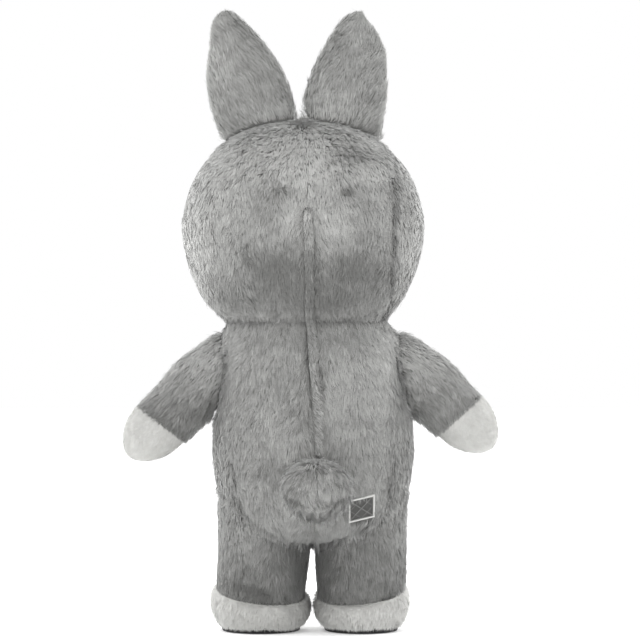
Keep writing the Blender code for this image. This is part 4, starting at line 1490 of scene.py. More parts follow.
@dataclass
class Coat:
    """The fur of one or more panels, as one mesh of narrow kite-shaped blades."""

    name: str
    panels: list[Panel]
    white: bool = False

    def make(self, material: bpy.types.Material) -> bpy.types.Object:
        """Grows the fur.

        Args:
            material: The strands' finish.

        Returns:
            The piece.
        """
        rng = np.random.default_rng(SEED + len(self.name))
        grown = [self.blades(panel, roots_on(panel, rng, group), rng)
                 for group, panel in enumerate(self.panels)]
        points, tones, normals = (np.concatenate(values) for values in zip(*grown))
        first = np.arange(len(points))[:, None] * 4
        tris = np.concatenate([first + np.array((0, 1, 2)), first + np.array((1, 3, 2))])
        mesh = build_mesh(self.name, points.reshape(-1, 3), tris=tris)
        tone = mesh.color_attributes.new(TONE, "FLOAT_COLOR", "POINT")
        tone.data.foreach_set("color", tones.astype(np.float32).ravel())
        mesh.shade_smooth()
        mesh.normals_split_custom_set_from_vertices(normals.reshape(-1, 3).astype(np.float32))
        return place_piece(self.name, mesh, material)

    def blades(self, panel: Panel, roots: Strands, rng: np.random.Generator) -> tuple[Array, Array, Array]:
        """Points, tones and normals of a panel's strands, four to a strand.

        Args:
            panel: The panel that they grow on.
            roots: Their roots.
            rng: Source of random numbers.

        Returns:
            Points, colours and normals.
        """
        pile = panel.pile
        count = len(roots.base)

        def spread(low: float, high: float) -> Array:
            """One random number for each strand."""
            return rng.uniform(low, high, (count, 1))

        ruffle, near = roots.ruffle[:, None], roots.near[:, None]
        guard = spread(0.0, 1.0) < pile.guard
        hang = np.clip(-roots.normal[:, 2:3] - GROOM.hang_from, 0.0, GROOM.hang_most) * (not panel.white)
        length = pile.length * spread(*GROOM.lengths) * (1.0 - GROOM.seam_shorter * near)
        length = length * (1.0 - GROOM.matted_shorter * ruffle)
        length = length * (1.0 - GROOM.trim_shorter * roots.trim[:, None])
        rise = pile.rise * (roots.lift / pile.depth)[:, None] * spread(*GROOM.rises)
        rise = rise * (1.0 - GROOM.seam_flatter * near)
        rise = rise * (1.0 + GROOM.matted_higher * ruffle + GROOM.hang_higher * hang + roots.stand[:, None])
        rise = rise * np.where(guard, GROOM.guard_higher, 1.0)
        middle = roots.base + roots.way * length * GROOM.middle_along + roots.normal * rise * GROOM.middle_up
        fallen = rise - length ** 2 / GROOM.droop
        tip = roots.base + roots.way * length * GROOM.tip_along + roots.normal * fallen
        _, lock, members = np.unique(roots.lock, return_inverse=True, return_counts=True)
        mean = np.stack([np.bincount(lock, tip[:, k]) for k in range(3)], axis=1) / members[:, None]
        pull = (pile.gather + GROOM.matted_gather * ruffle) * spread(*GROOM.gathers)
        pull = pull * np.where(guard, GROOM.guard_gather, 1.0)
        shift = (mean[lock] - tip) * pull
        tip, middle = tip + shift, middle + shift * GROOM.middle_pull
        roll = spread(-GROOM.roll, GROOM.roll)
        across = unit(np.cross(roots.way, roots.normal)) * np.cos(roll) + roots.normal * np.sin(roll)
        across = across * pile.width * spread(*GROOM.widths) / 2
        base = roots.base - roots.normal * GROOM.sunk
        points = np.stack([base, middle + across, middle - across, tip], axis=1)
        points[:, :, 2] = np.maximum(points[:, :, 2], FLOOR_GAP)
        face = unit(np.cross(across, tip - base))
        uneven = rng.normal(size=(count, 3)) * GROOM.uneven
        normal = unit(roots.normal * (1.0 - GROOM.own_face) + face * GROOM.own_face + uneven)
        lock_tone = rng.normal(size=len(members))[lock] * pile.streak
        lock_tone = lock_tone * (1.0 + GROOM.matted_tone * roots.ruffle)
        shade = 0.5 + roots.tone + lock_tone + rng.normal(size=count) * GROOM.strand_tone
        shade += GROOM.broad_tone * Wave.BROAD_TONE.at(roots.base)
        shade += GROOM.fine_tone * Wave.FINE_TONE.at(roots.base)
        # Tone channels: red is the tone, with the patches' painted light and shade and the painted rim light;
        # green is how far up the strand each point is, for the painted shade at the root; blue is the painted
        # shade in seams, creases and along the neck
        tones = np.ones((count, 4, 4))
        tones[:, :, 0] = np.clip(shade, 0.0, 1.0)[:, None]
        tones[:, :, 1] = GROOM.along + GROOM.along_matted * ruffle
        # Painted shade in seam grooves, creases, along the neck and along the strip's stitched top end
        valley = roots.near * GROOM.seam_dark + roots.valley / GROOM.valley_full
        tones[:, :, 2] = np.clip(valley, 0.0, 1.0)[:, None]
        return points, tones, np.repeat(normal[:, None], 4, axis=1)


def between(low: Seam, high: Seam) -> PanelMap:
    """Panel map between two seam angles that vary along the form.

    Args:
        low: Angle of the first seam, from the share.
        high: Angle of the last seam, from the share.

    Returns:
        The panel map.
    """
    def where(row: Array, col: Array) -> tuple[Array, Array]:
        """Angle and share at a row and a column."""
        return low(row) + (high(row) - low(row)) * col, row
    return where


def behind(form: Loft, seam: Seam, sign: float) -> PanelMap:
    """Panel map of a back panel, from the middle of the back or the zip's slot to its side seam."""
    return between(lambda share: back_angle(form, share, sign * slot_half(form.ring(share)[0])),
                   lambda share: sign * seam(share))


def beside(seam: Seam, sign: float) -> PanelMap:
    """Panel map of a side panel, from its seam with the back round to its seam with the front."""
    return between(lambda share: sign * seam(share), lambda share: sign * (HALF_TURN - seam(share)))


def before(seam: Seam) -> PanelMap:
    """Panel map of a front panel, from one side seam across to the other."""
    return between(lambda share: HALF_TURN - seam(share), lambda share: HALF_TURN + seam(share))


def along_tube(first: float, last: float, root: Seam, end: Seam) -> PanelMap:
    """Panel map round a tube from one angle to another, and along it from its root to its end.

    Args:
        first: Angle of the first column.
        last: Angle of the last column.
        root: Share at which the tube starts, from the angle.
        end: Share at which it ends, from the angle.

    Returns:
        The panel map.
    """
    def where(row: Array, col: Array) -> tuple[Array, Array]:
        """Angle and share at a row and a column."""
        angle = first + (last - first) * col
        return angle, root(angle) + (end(angle) - root(angle)) * row
    return where


def root_of(limb: Loft, carrier: Loft, inside: float, outside: float) -> Seam:
    """A function of the angle: where a limb's outside comes in past its carrier's wall.

    Args:
        limb: The limb's form.
        carrier: The form that it is sewn into.
        inside: A share of the limb's profile that lies inside the carrier.
        outside: One that lies outside.

    Returns:
        The function.
    """
    def root(angle: Array) -> Array:
        """Share of the limb's profile.

        Args:
            angle: Angles on the form.

        Returns:
            The shares.
        """
        near = np.full(angle.shape, inside)
        far = np.full(angle.shape, outside)
        for _ in range(HALVINGS):
            middle = (near + far) / 2
            held = carrier.holds(limb.at(angle, middle), WALL)
            near = np.where(held, middle, near)
            far = np.where(held, far, middle)
        return near
    return root


def same(value: float) -> Seam:
    """A function that gives one value for every angle."""
    return lambda angle: np.full(np.shape(angle), value)


def seam_of(form: Loft, place: float, slant: float) -> Seam:
    """Share of a tube's profile at a slanted seam, as a function of the angle."""
    return lambda angle: form.share_at(place + slant * np.sin(angle))


def back_angle(form: Loft, share: Array, offset: Array | float) -> Array:
    """Angle of a line at an offset from the seam down the middle of the back.

    Args:
        form: The form.
        share: Shares of its profile.
        offset: Distance from that seam, in metres.

    Returns:
        The angles.
    """
    height, centre, half = form.ring(share)[:3]
    heights, places = np.array(BACK_SEAM).T
    sine = (np.interp(height, heights, places) + offset - centre) / half
    return np.arcsin(np.clip(sine, -0.7, 0.7))


def slot_half(height: Array) -> Array:
    """Half width of the slot that the two back panels leave for the strip over the zip."""
    inside = (height > PLACKET_BOTTOM - SEAM_GAP) & (height < PLACKET_TOP + SEAM_GAP)
    return np.where(inside, PLACKET_HALF + SLOT_CLEARANCE, 0.0)


def even(count: int) -> Array:
    """Shares of a length in equal steps."""
    return np.linspace(0.0, 1.0, count + 1)


def with_steps(form: Loft, rows: Array, extra: list[float]) -> Array:
    """Rows of a panel with a step at each end of the zip's slot, and at other shares.

    Args:
        form: The form.
        rows: Shares of the panel's rows.
        extra: The other shares.

    Returns:
        All the shares, in order.
    """
    steps = list(extra)
    for height in (PLACKET_TOP, PLACKET_BOTTOM):
        if form.place[0] < height < form.place[-1]:
            past = height + math.copysign(STEP, height - NECK_HEIGHT)
            steps += [form.share_at(height), form.share_at(past)]
    return np.unique(np.concatenate([rows, steps]))


@dataclass
class Head:
    """The round head: two back panels, a round gusset at each cheek, and the face panel."""

    forms: Forms
    crown: tuple[float, float, float] = (0.030, 0.040, 1.640)
    rows: int = 36
    sweep: float = 0.9
    falls_below: float = 1.22
    fade: float = 0.34

    def flow(self, base: Array, along: Array) -> Array:
        """Fur parts at the crown, sweeps to the sides and then falls.

        Args:
            base: Roots of the fur, in rows of x, y, z.
            along: The way along the panel at each root. Not used.

        Returns:
            A way for each root, of any length.
        """
        away = base - np.array(self.crown)
        high = np.clip((base[:, 2:3] - self.falls_below) / self.fade, 0.0, 1.0)
        spread = unit(away) * (0.25 + high * self.sweep * 2.0)
        return spread - UP * (1.25 - 0.9 * high)

    def panels(self) -> list[Panel]:
        """The five panels, backs first.

        Returns:
            The panels.
        """
        head, ears = self.forms.head, tuple(self.forms.ears.values())
        upper = head.place > CHEEK_TIP_ABOVE
        tip_half = CHEEK_OFFSET / CHEEK_TIP_SINE
        tip = float(np.interp(-tip_half, -head.half[upper], head.share[upper]))
        above = float(head.share_at(head.ring(tip)[0] + STEP))

        def seam(share: Array) -> Array:
            """Angle of the seam between the back of the head and the cheek.

            Args:
                share: Shares of its profile.

            Returns:
                The angles.
            """
            height, _, half = head.ring(share)[:3]
            sine = np.minimum(CHEEK_OFFSET / half, CHEEK_TIP_SINE)
            sine = np.where(height < CHEEK_LOW_HEIGHT, np.minimum(sine, CHEEK_LOW_SINE), sine)
            return np.where(share <= tip + TINY, np.arcsin(sine), QUARTER)

        rows = with_steps(head, even(self.rows), [tip, above])
        plain = np.unique(np.concatenate([even(self.rows), [tip, above]]))
        found = []
        for side in Side:
            found.append(Panel("head_back_" + side.word, head, behind(head, seam, side.value), rows, even(24),
                               HEAD_FUR, self.flow, SIDE_SEAMS, ears))
        for side in Side:
            found.append(Panel("head_side_" + side.word, head, beside(seam, side.value),
                               plain[plain <= tip + TINY], even(18), CHEEK_FUR, self.flow, SIDE_SEAMS))
        found.append(Panel("head_front", head, before(seam), plain, even(36), FRONT_FUR, self.flow,
                           SIDE_SEAMS, ears, bare=Face().covers))
        return found

    def build(self, shop: "Workshop") -> None:
        """Builds cloth and fur.

        Args:
            shop: The workshop that sews and grows.
        """
        panels = self.panels()
        shop.sew(panels)
        shop.grow("head_back_fur", panels[:2])
        shop.grow("head_front_fur", panels[2:])


@dataclass
class Body:
    """The trunk: two back panels, a side panel under each arm, and the front."""

    forms: Forms
    rows: int = 36
    fan: float = 0.55
    sweep: float = 1.0
    shoulder_from: tuple[float, float] = (0.16, 0.76)
    shoulder_fade: tuple[float, float] = (0.08, 0.12)

    def flow(self, base: Array, along: Array) -> Array:
        """Fur falls, fans out a little to both sides, and sweeps out over the tops of the sleeves.

        Args:
            base: Roots of the fur, in rows of x, y, z.
            along: The way along the panel at each root. Not used.

        Returns:
            A way for each root, of any length.
        """
        x, z = base[:, :1], base[:, 2:]
        (from_x, from_z), (fade_x, fade_z) = self.shoulder_from, self.shoulder_fade
        shoulder = np.clip((z - from_z) / fade_z, 0.0, 1.0) * np.clip((np.abs(x) - from_x) / fade_x, 0.0, 1.0)
        out = self.fan * x + self.sweep * np.sign(x) * shoulder
        return -UP + out * np.array((1.0, 0.0, 0.0))

    def panels(self) -> list[Panel]:
        """The five panels, backs first.

        Returns:
            The panels.
        """
        body, forms = self.forms.body, self.forms
        heights, angles = np.array(FLANK_SEAM).T

        def seam(share: Array) -> Array:
            """Angle of the seam between the back of the body and its side."""
            return np.radians(np.interp(body.ring(share)[0], heights, angles))

        limbs = (*forms.arms.values(), *forms.legs.values())
        rows = with_steps(body, even(self.rows), [])
        low, high = float(body.share_at(FLANK_BOTTOM)), float(body.share_at(FLANK_TOP))
        flank_rows = low + (high - low) * even(28)
        found = []
        for side in Side:
            found.append(Panel("body_back_" + side.word, body, behind(body, seam, side.value), rows, even(26),
                               BACK_FUR, self.flow, SIDE_SEAMS, (*limbs, forms.tail),
                               bare=Inlet(forms).covers))
        for side in Side:
            found.append(Panel("body_side_" + side.word, body, beside(seam, side.value), flank_rows, even(14),
                               FRONT_FUR, self.flow, SIDE_SEAMS, limbs))
        found.append(Panel("body_front", body, before(seam), even(self.rows), even(36), FRONT_FUR, self.flow,
                           SIDE_SEAMS, limbs))
        return found

    def build(self, shop: "Workshop") -> None:
        """Builds cloth and fur.

        Args:
            shop: The workshop that sews and grows.
        """
        panels = self.panels()
        shop.sew(panels)
        shop.grow("body_back_fur", panels[:2])
        shop.grow("body_front_fur", panels[2:])


@dataclass
class Ears:
    """Two upright ears, each a back and a front panel sewn into the crown."""

    forms: Forms
    slant: float = 0.45
    sewn_in: tuple[float, float] = (1.525, 1.66)

    def build(self, shop: "Workshop") -> None:
        """Builds cloth and fur.

        Args:
            shop: The workshop that sews and grows.
        """
        found = []
        for side in Side:
            ear = self.forms.ears[side]
            root = root_of(ear, self.forms.head, *(float(ear.share_at(height)) for height in self.sewn_in))

            def flow(base: Array, along: Array, out: float = side.value) -> Array:
                """Fur runs up the ear and out to its edge."""
                return unit(along) + np.array((out * self.slant, 0.0, 0.0))

            for half in Half:
                found.append(Panel(f"ear_{side.word}_{half.word}", ear, half.tube(root, same(1.0)), even(24),
                                   even(18), half.limb_fur, flow, rim=0.28))
        shop.sew(found)
        shop.grow("ear_fur", found, hidden=(self.forms.head,))


@dataclass
class Arms:
    """Two sleeves sewn into the body, with a white mitt on each."""

    forms: Forms
    droop: float = 0.35

    def build(self, shop: "Workshop") -> None:
        """Builds cloth and fur.

        Args:
            shop: The workshop that sews and grows.
        """
        sleeves, mitts = [], []
        for side in Side:
            arm, mitt, place = self.forms.arms[side], self.forms.mitts[side], ARMS[side]
            root = root_of(arm, self.forms.body, 0.0, float(arm.share_at(0.0)))
            for half, word in zip(Half, ("back", "palm")):
                cuff = half.tube(root, seam_of(arm, place.seam, place.slant))
                sleeves.append(Panel(f"sleeve_{side.word}_{half.word}", arm, cuff, even(22), even(16),
                                     half.limb_fur, self.flow, rim=0.15, trim=0.65))
                hand = half.tube(seam_of(mitt, 0.0, place.slant), same(1.0))
                mitts.append(Panel(f"mitt_{side.word}_{word}", mitt, hand, even(16), even(16), MITT_FUR,
                                   self.flow, white=True))
        shop.sew(sleeves + mitts)
        shop.grow("sleeve_fur", sleeves, hidden=(self.forms.body,))
        shop.grow("mitt_fur", mitts)

    def flow(self, base: Array, along: Array) -> Array:
        """Fur runs along the arm and droops."""
        return unit(along) - UP * self.droop


@dataclass
class Legs:
    """Two legs, with a white foot and a black sole under each."""

    forms: Forms
    fringe: float = 0.060

    def build(self, shop: "Workshop") -> None:
        """Builds cloth and fur.

        Args:
            shop: The workshop that sews and grows.
        """
        legs, feet = [], []
        for side in Side:
            leg, foot = self.forms.legs[side], self.forms.feet[side]
            root = root_of(leg, self.forms.body, 1.0, float(leg.share_at(0.22)))
            for half, word in zip(Half, ("heel", "vamp")):
                ankle = half.tube(root, lambda angle, f=leg, s=side: ankle_share(f, s, angle))
                legs.append(Panel(f"leg_{side.word}_{half.word}", leg, ankle, even(20), even(18),
                                  half.limb_fur, self.fall, rim=0.15, trim=0.35))
                feet.append(Panel(f"foot_{side.word}_{word}", foot, half.tube(same(0.0), same(1.0)), even(16),
                                  even(20), FOOT_FUR, self.spill, white=True, trim=0.95))
            dress_node("sole_" + side.word, RubberFinish().make())
        shop.sew(legs + feet)
        shop.grow("leg_fur", legs, hidden=(self.forms.body,))
        shop.grow("foot_fur", feet)

    def fall(self, base: Array, along: Array) -> Array:
        """Fur falls down the leg."""
        return unit(along) - UP * 0.2

    def spill(self, base: Array, along: Array) -> Array:
        """Fur spreads over the foot, and hangs down over the edge of the sole."""
        low = np.clip((self.fringe - base[:, 2:]) / 0.03, 0.0, 1.0)
        return unit(along) * (1.0 - 0.5 * low) - UP * (0.2 + 0.6 * low)


@dataclass
class Tail:
    """The round tail: two gores with a seam down the middle."""

    forms: Forms
    parting: tuple[float, float, float] = (-0.018, 0.330, 0.580)
    tuft: tuple[float, float, float] = (-0.020, 0.400, 0.372)
    turn_in: float = 0.465

    def flow(self, base: Array, along: Array) -> Array:
        """Long fur radiates from a point near the top, and draws in to a tuft at the bottom.

        Args:
            base: Roots of the fur, in rows of x, y, z.
            along: The way along the panel at each root. Not used.

        Returns:
            A way for each root, of any length.
        """
        low = np.clip((self.turn_in - base[:, 2:]) / 0.05, 0.0, 1.0)
        spread = unit(base - np.array(self.parting)) - UP * 0.40
        return spread * (1.0 - 0.75 * low) + unit(np.array(self.tuft) - base) * low

    def build(self, shop: "Workshop") -> None:
        """Builds cloth and fur.

        Args:
            shop: The workshop that sews and grows.
        """
        tail = self.forms.tail
        root = root_of(tail, self.forms.body, 0.0, float(tail.share_at(0.04)))
        found = []
        for side, first in ((Side.RIGHT, 0.0), (Side.LEFT, HALF_TURN)):
            gore = along_tube(first, first + HALF_TURN, root, same(1.0))
            found.append(Panel("tail_" + side.word, tail, gore, even(16), even(24), TAIL_FUR, self.flow,
                               SIDE_SEAMS, dip=0.25))
        shop.sew(found)
        shop.grow("tail_fur", found, hidden=(self.forms.body,))


@dataclass
class Placket:
    """The strip of fur cloth over the closed zip, stitched down on both sides and across its top."""

    forms: Forms
    lean: float = -0.42
    stitch: float = 0.0045
    pitch: float = 0.0065
    thread: float = 0.0005
    thread_lift: float = 0.0006
    from_edge: float = 0.1

    def strip(self) -> Panel:
        """The strip as a panel of both forms, from the seat up to the back of the head.

        Returns:
            The panel.
        """
        body, head = self.forms.body, self.forms.head
        whole = JoinedForm(body, head)
        where = between(lambda share: whole.seam_angle(share, PLACKET_HALF),
                        lambda share: whole.seam_angle(share, -PLACKET_HALF))
        return Panel("zip_placket", whole, where, even(90), even(6), PLACKET_FUR, self.flow, NO_VALLEYS,
                     sink=PLACKET_SINK)

    def flow(self, base: Array, along: Array) -> Array:
        """Fur falls down the strip, and leans to one side, less so on the head."""
        lean = self.lean * np.where(base[:, 2:] > NECK_HEIGHT, 0.25, 1.0)
        return -UP + lean * np.array((1.0, 0.0, 0.0))

    def build(self, shop: "Workshop") -> None:
        """Builds the strip, its fur and its stitches.

        Args:
            shop: The workshop that sews and grows.
        """
        panel = self.strip()
        shop.sew([panel])
        shop.grow("placket_fur", [panel])
        self.sew_down(panel)

    def sew_down(self, panel: Panel) -> None:
        """Sews the strip down with two long rows of stitches, and two short ones across its top.

        Args:
            panel: The strip.
        """
        rows = []
        for edge, inner in ((0, 1), (-1, -2)):
            line = panel.base[:, edge] * (1.0 - self.from_edge) + panel.base[:, inner] * self.from_edge
            rows.append((line + panel.normals[:, edge] * self.thread_lift, panel.normals[:, edge]))
        for row in (-1, -3):
            rows.append((panel.base[row] + panel.normals[row] * self.thread_lift, panel.normals[row]))
        points, quads = [], []
        for line, normals in rows:
            run = np.concatenate([[0.0], np.cumsum(np.linalg.norm(np.diff(line, axis=0), axis=1))])
            for start in np.arange(self.pitch / 2, run[-1] - self.stitch, self.pitch):
                ends = [np.array([np.interp(at, run, line[:, k]) for k in range(3)])
                        for at in (start, start + self.stitch / 2, start + self.stitch)]
                normal = np.array([np.interp(start, run, normals[:, k]) for k in range(3)])
                ends[1] = ends[1] + normal * self.thread * 1.4
                way = unit(ends[2] - ends[0])
                side = np.cross(normal, way)
                first = len(points)
                for end, size in zip(ends, (0.6, 1.0, 0.6)):
                    points += [end + side * self.thread * size, end + normal * self.thread * size,
                               end - side * self.thread * size, end - normal * self.thread * size]
                for ring in range(2):
                    for k in range(4):
                        a, b = first + ring * 4 + k, first + ring * 4 + (k + 1) % 4
                        quads.append((a, b, b + 4, a + 4))
                quads.append((first + 3, first + 2, first + 1, first))
                quads.append((first + 8, first + 9, first + 10, first + 11))
        mesh = build_mesh("placket_stitches", np.array(points), np.array(quads))
        mesh.shade_smooth()
        place_piece("placket_stitches", mesh, GREY_THREAD.make())


class JoinedForm(Form):
    """Body and head as one form, for the strip that runs over both."""

    def __init__(self, body: Loft, head: Loft) -> None:
        """Joins the forms between the ends of the strip.

        Args:
            body: The body's form.
            head: The head's form.
        """
        self.body = body
        self.head = head
        self.low = PLACKET_BOTTOM + SEAM_GAP
        self.high = PLACKET_TOP - SEAM_GAP

    def parts(self, share: Array) -> tuple[Array, Array, Array]:
        """Which places are below the neck, and all of them as shares of the body and of the head.

        Args:
            share: Shares of the strip's length.

        Returns:
            A mask, and both sets of shares.
        """
        height = self.low + (self.high - self.low) * share
        low = self.body.share_at(np.minimum(height, NECK_HEIGHT))
        high = self.head.share_at(np.maximum(height, NECK_HEIGHT))
        return height < NECK_HEIGHT, low, high

    def seam_angle(self, share: Array, offset: float) -> Array:
        """Angle of a line at an offset from the middle of the strip."""
        below, low, high = self.parts(share)
        return np.where(below, back_angle(self.body, low, offset), back_angle(self.head, high, offset))

    def at(self, angle: Array, share: Array) -> Array:
        """Points of whichever form is at that height."""
        below, low, high = self.parts(share)
        return np.where(below[..., None], self.body.at(angle, low), self.head.at(angle, high))

    def normal(self, angle: Array, share: Array) -> Array:
        """Unit normals of whichever form is at that height."""
        below, low, high = self.parts(share)
        return np.where(below[..., None], self.body.normal(angle, low), self.head.normal(angle, high))


@dataclass
class Inlet:
    """The air inlet at the right hip: a pale tape round a dark net."""

    forms: Forms
    angle: float = -32.0
    height: float = 0.4035
    width: float = 0.092
    tall: float = 0.080
    roll: float = 12.0
    border: float = 0.005
    sink: float = 0.008
    pitch: float = 0.0043
    wire: float = 0.0009
    cord: float = 0.0022
    reach: float = 0.05

    def frame(self) -> Matrix:
        """The inlet's own frame: x across it, y up it, z out of the cloth.

        Returns:
            The frame.
        """
        body = self.forms.body
        share = np.array(body.share_at(self.height))
        angle = np.array(math.radians(self.angle))
        out = Vector(body.normal(angle, share))
        across = Vector(UP).cross(out).normalized()
        up = out.cross(across)
        turn = Matrix((across, up, out)).transposed().to_4x4()
        spot = Vector(body.at(angle, share)) - out * self.sink
        return Matrix.Translation(spot) @ turn @ Matrix.Rotation(math.radians(self.roll), 4, "Z")

    def covers(self, points: Array, inset: float) -> Array:
        """Which points lie over the inlet made smaller by inset.

        Args:
            points: Points, in an array whose last axis is x, y, z.
            inset: How much smaller, in metres.

        Returns:
            Whether each point is covered.
        """
        turn = np.array(self.frame().inverted())
        local = points @ turn[:3, :3].T + turn[:3, 3]
        half = np.array((self.width / 2 - inset, self.tall / 2 - inset, self.reach))
        return (np.abs(local) < half).all(axis=-1)

    def cross(self, place: Matrix, half_x: float, half_y: float) -> None:
        """Lays the two corner-to-corner cords, and the four that join the middles of the sides.

        Args:
            place: The inlet's own frame.
            half_x: Half the net's width.
            half_y: Half its height.
        """
        corners = [((-half_x, -half_y), (half_x, half_y)), ((-half_x, half_y), (half_x, -half_y))]
        middles = [(half_x, 0.0), (0.0, half_y), (-half_x, 0.0), (0.0, -half_y)]
        runs = [(pair, self.cord) for pair in corners]
        runs += [(pair, self.cord * 0.6) for pair in zip(middles, middles[1:] + middles[:1])]
        mesh = bmesh.new()
        for (start, end), thick in runs:
            span = Vector(end) - Vector(start)
            middle = (Vector(start) + Vector(end)) / 2
            matrix = (place @ Matrix.Translation((*middle, 0.0012))
                      @ Matrix.Rotation(math.atan2(span.y, span.x), 4, "Z")
                      @ Matrix.Diagonal((span.length * 0.96, thick, thick * 0.6, 1.0)))
            bmesh.ops.create_cube(mesh, size=1.0, matrix=matrix)
        place_piece("inlet_cords", mesh_from(mesh, "inlet_cords"), GREY_CORD.make())

    def build(self) -> None:
        """Builds the net and its cords, with a dark sheet behind the net as painted shade, and dresses the
        tape.
        """
        place = self.frame()
        half_x = self.width / 2 - self.border - SEAM_GAP
        half_y = self.tall / 2 - self.border - SEAM_GAP
        mesh = bmesh.new()
        for half, other, turned in ((half_x, half_y, False), (half_y, half_x, True)):
            for at in np.arange(-half + self.pitch / 2, half, self.pitch):
                size = (2 * other, self.wire, self.wire) if turned else (self.wire, 2 * other, self.wire)
                middle = (0.0, at, self.wire * 0.5) if turned else (at, 0.0, 0.0)
                matrix = place @ Matrix.Translation(middle) @ Matrix.Diagonal((*size, 1.0))
                bmesh.ops.create_cube(mesh, size=1.0, matrix=matrix)
        # A dark sheet just behind the net: painted shade for the hollow inside the opening
        shade_sheet = Matrix.Diagonal((2 * half_x, 2 * half_y, 0.0004, 1.0))
        bmesh.ops.create_cube(mesh, size=1.0, matrix=place @ Matrix.Translation((0.0, 0.0, -0.0012)) @ shade_sheet)
        place_piece("inlet_net", mesh_from(mesh, "inlet_net"), DARK_NET.make(), ("inlet_mesh",))
        self.cross(place, half_x, half_y)
        dress_node("inlet_binding", PALE_TAPE.make())


@dataclass
class Face:
    """The hidden face, kept plain: two eyes, a nose and a mouth of net."""

    buttons: tuple[str, ...] = ("eye_left", "eye_right", "nose")
    mouth: str = "mouth_mesh"

    def covers(self, points: Array, inset: float) -> Array:
        """Which points lie behind an eye, the nose or the mouth made smaller by inset.

        Args:
            points: Points, in an array whose last axis is x, y, z.
            inset: How much smaller, in metres.

        Returns:
            Whether each point is covered.
        """
        found = np.zeros(points.shape[:-1], dtype=bool)
        for node in (*self.buttons, self.mouth):
            low, high = (np.array(corner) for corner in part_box(node))
            middle, half = (low + high) / 2, (high - low) / 2 - inset
            away = (points - middle)[..., (0, 2)] / np.maximum(half[[0, 2]], TINY)
            held = ((away ** 2).sum(axis=-1) < 1.0) & (points[..., 1] < 0.0)
            found |= held & (half[0] > 0.0) & (half[2] > 0.0)
        return found

    def build(self) -> None:
        """Dresses the face's pieces."""
        gloss = BUTTON_GLOSS.make()
        for node in self.buttons:
            dress_node(node, gloss)
        dress_node(self.mouth, MOUTH_NET.make())


def dress_node(node: str, material: bpy.types.Material) -> None:
    """Gives a CAD node a better material.

    Args:
        node: The node's name.
        material: Its finish.
    """
    piece = frame["nodes"][node]
    for slot in piece.material_slots:
        slot.link = "OBJECT"
        slot.material = material
    LOG.info("%s: dressed with %s", node, material.name)


class Workshop:
    """Holds the finishes, and sews and grows the pieces."""

    def __init__(self) -> None:
        """Makes the finishes of fur and cloth."""
        self.furs = {False: GREY_FUR.make(), True: WHITE_FUR.make()}
        self.cloths = {False: GREY_CLOTH.make(), True: WHITE_CLOTH.make()}

    def sew(self, panels: list[Panel]) -> None:
        """Makes the cloth of these panels."""
        for panel in panels:
            panel.cloth(self.cloths[panel.white])

    def grow(self, name: str, panels: list[Panel], hidden: tuple[Loft, ...] = ()) -> None:
        """Grows one coat on these panels, but not where a form hides them.

        Args:
            name: Its name.
            panels: Its panels.
            hidden: Forms that hide some of its roots.
        """
        for panel in panels:
            panel.inside = panel.inside + hidden
        white = panels[0].white
        Coat(name, panels, white).make(self.furs[white])


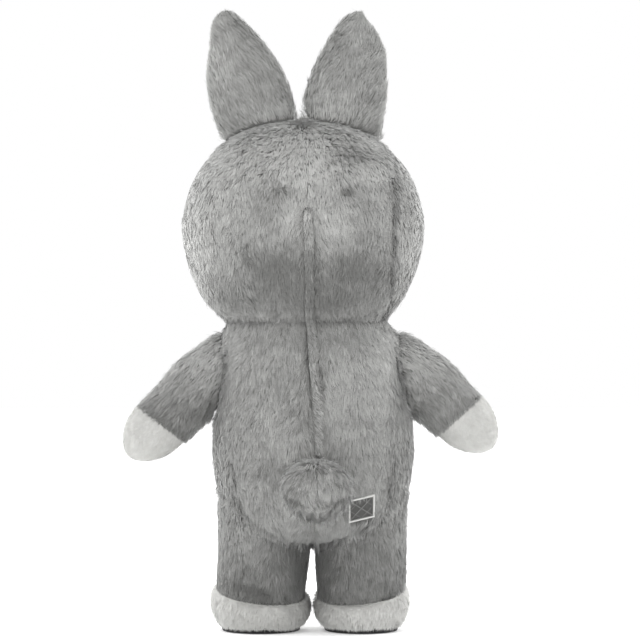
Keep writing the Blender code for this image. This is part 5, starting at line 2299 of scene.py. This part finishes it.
@dataclass
class Studio:
    """A pale floor, soft lights, and the camera at the photograph's angle."""

    distance: float = 12.0
    lens: float = 209.0
    sensor: float = 36.0
    centre: tuple[float, float] = (-0.0304, 1.004)
    floor: float = 30.0
    floor_drop: float = 0.0005
    sky: float = 0.50
    aim: Point = (0.0, 0.0, 0.95)

    def build(self) -> None:
        """Builds the studio."""
        self.lay_floor()
        self.light("key", (0.8, 3.2, 4.4), 2.8, 150.0)
        self.light("rim_left", (3.2, -1.4, 2.4), 2.4, 92.0)
        self.light("rim_right", (-3.2, -1.4, 2.4), 2.4, 98.0)
        self.light("face", (0.4, -4.2, 3.0), 2.6, 90.0)
        self.hang_sky()
        bpy.context.scene.view_settings.view_transform = "Standard"
        camera = bpy.data.objects.new("camera", bpy.data.cameras.new("camera"))
        camera.data.lens = self.lens
        camera.data.sensor_width = self.sensor
        camera.location = (self.centre[0], self.distance, self.centre[1])
        camera.rotation_euler = (QUARTER, 0.0, HALF_TURN)
        bpy.context.scene.collection.objects.link(camera)
        bpy.context.scene.camera = camera

    def lay_floor(self) -> None:
        """Lays a pale floor that fades to white away from the suit."""
        mesh = bmesh.new()
        bmesh.ops.create_grid(mesh, x_segments=1, y_segments=1, size=self.floor)
        floor = bpy.data.objects.new("studio_floor", mesh_from(mesh, "studio_floor"))
        floor.location.z = -self.floor_drop
        bpy.context.scene.collection.objects.link(floor)
        dye = Dye("pale_floor")
        place = dye.node("ShaderNodeTexCoord", output="Object")
        away = dye.node("ShaderNodeVectorMath", {"operation": "LENGTH"}, {0: place}, output="Value")
        glow = (away * 0.45 - 0.1).clamped()
        shine = dye.mix(glow, (0.30, 0.30, 0.30), (1.0, 1.0, 1.0))
        floor.data.materials.append(dye.surface(base_color=(0.90, 0.90, 0.90), roughness=0.9,
                                                emission_color=shine, emission_strength=1.0))

    def hang_sky(self) -> None:
        """Hangs a white background that lights the suit less than it shows."""
        dye = Dye("studio", world=True)
        bpy.context.scene.world = dye.surface(color=(1.0, 1.0, 1.0), strength=self.sky)
        soft = Shade(dye, dye.shader.outputs[0])
        white = dye.node("ShaderNodeBackground", None, {"Color": (1.0, 1.0, 1.0)})
        seen = dye.node("ShaderNodeLightPath", output="Is Camera Ray")
        both = dye.node("ShaderNodeMixShader", None, {0: seen, 1: soft, 2: white})
        dye.feed(dye.tree.nodes["World Output"].inputs["Surface"], both)

    def light(self, name: str, place: Point, size: float, power: float) -> None:
        """Adds a soft light that points at the suit.

        Args:
            name: Its name.
            place: Where it is.
            size: The side of its square, in metres.
            power: Its power, in watts.
        """
        lamp = bpy.data.lights.new(name, "AREA")
        lamp.size = size
        lamp.energy = power
        item = bpy.data.objects.new(name, lamp)
        item.location = place
        item.rotation_euler = (Vector(self.aim) - Vector(place)).to_track_quat("-Z", "Y").to_euler()
        bpy.context.scene.collection.objects.link(item)


def main() -> None:
    """Builds the looks."""
    logging.basicConfig(level=logging.INFO, format="%(message)s")
    forms = Forms()
    shop = Workshop()
    Head(forms).build(shop)
    Body(forms).build(shop)
    Ears(forms).build(shop)
    Arms(forms).build(shop)
    Legs(forms).build(shop)
    Tail(forms).build(shop)
    Placket(forms).build(shop)
    Inlet(forms).build()
    Face().build()
    Studio().build()


if __name__ == "__main__":
    main()
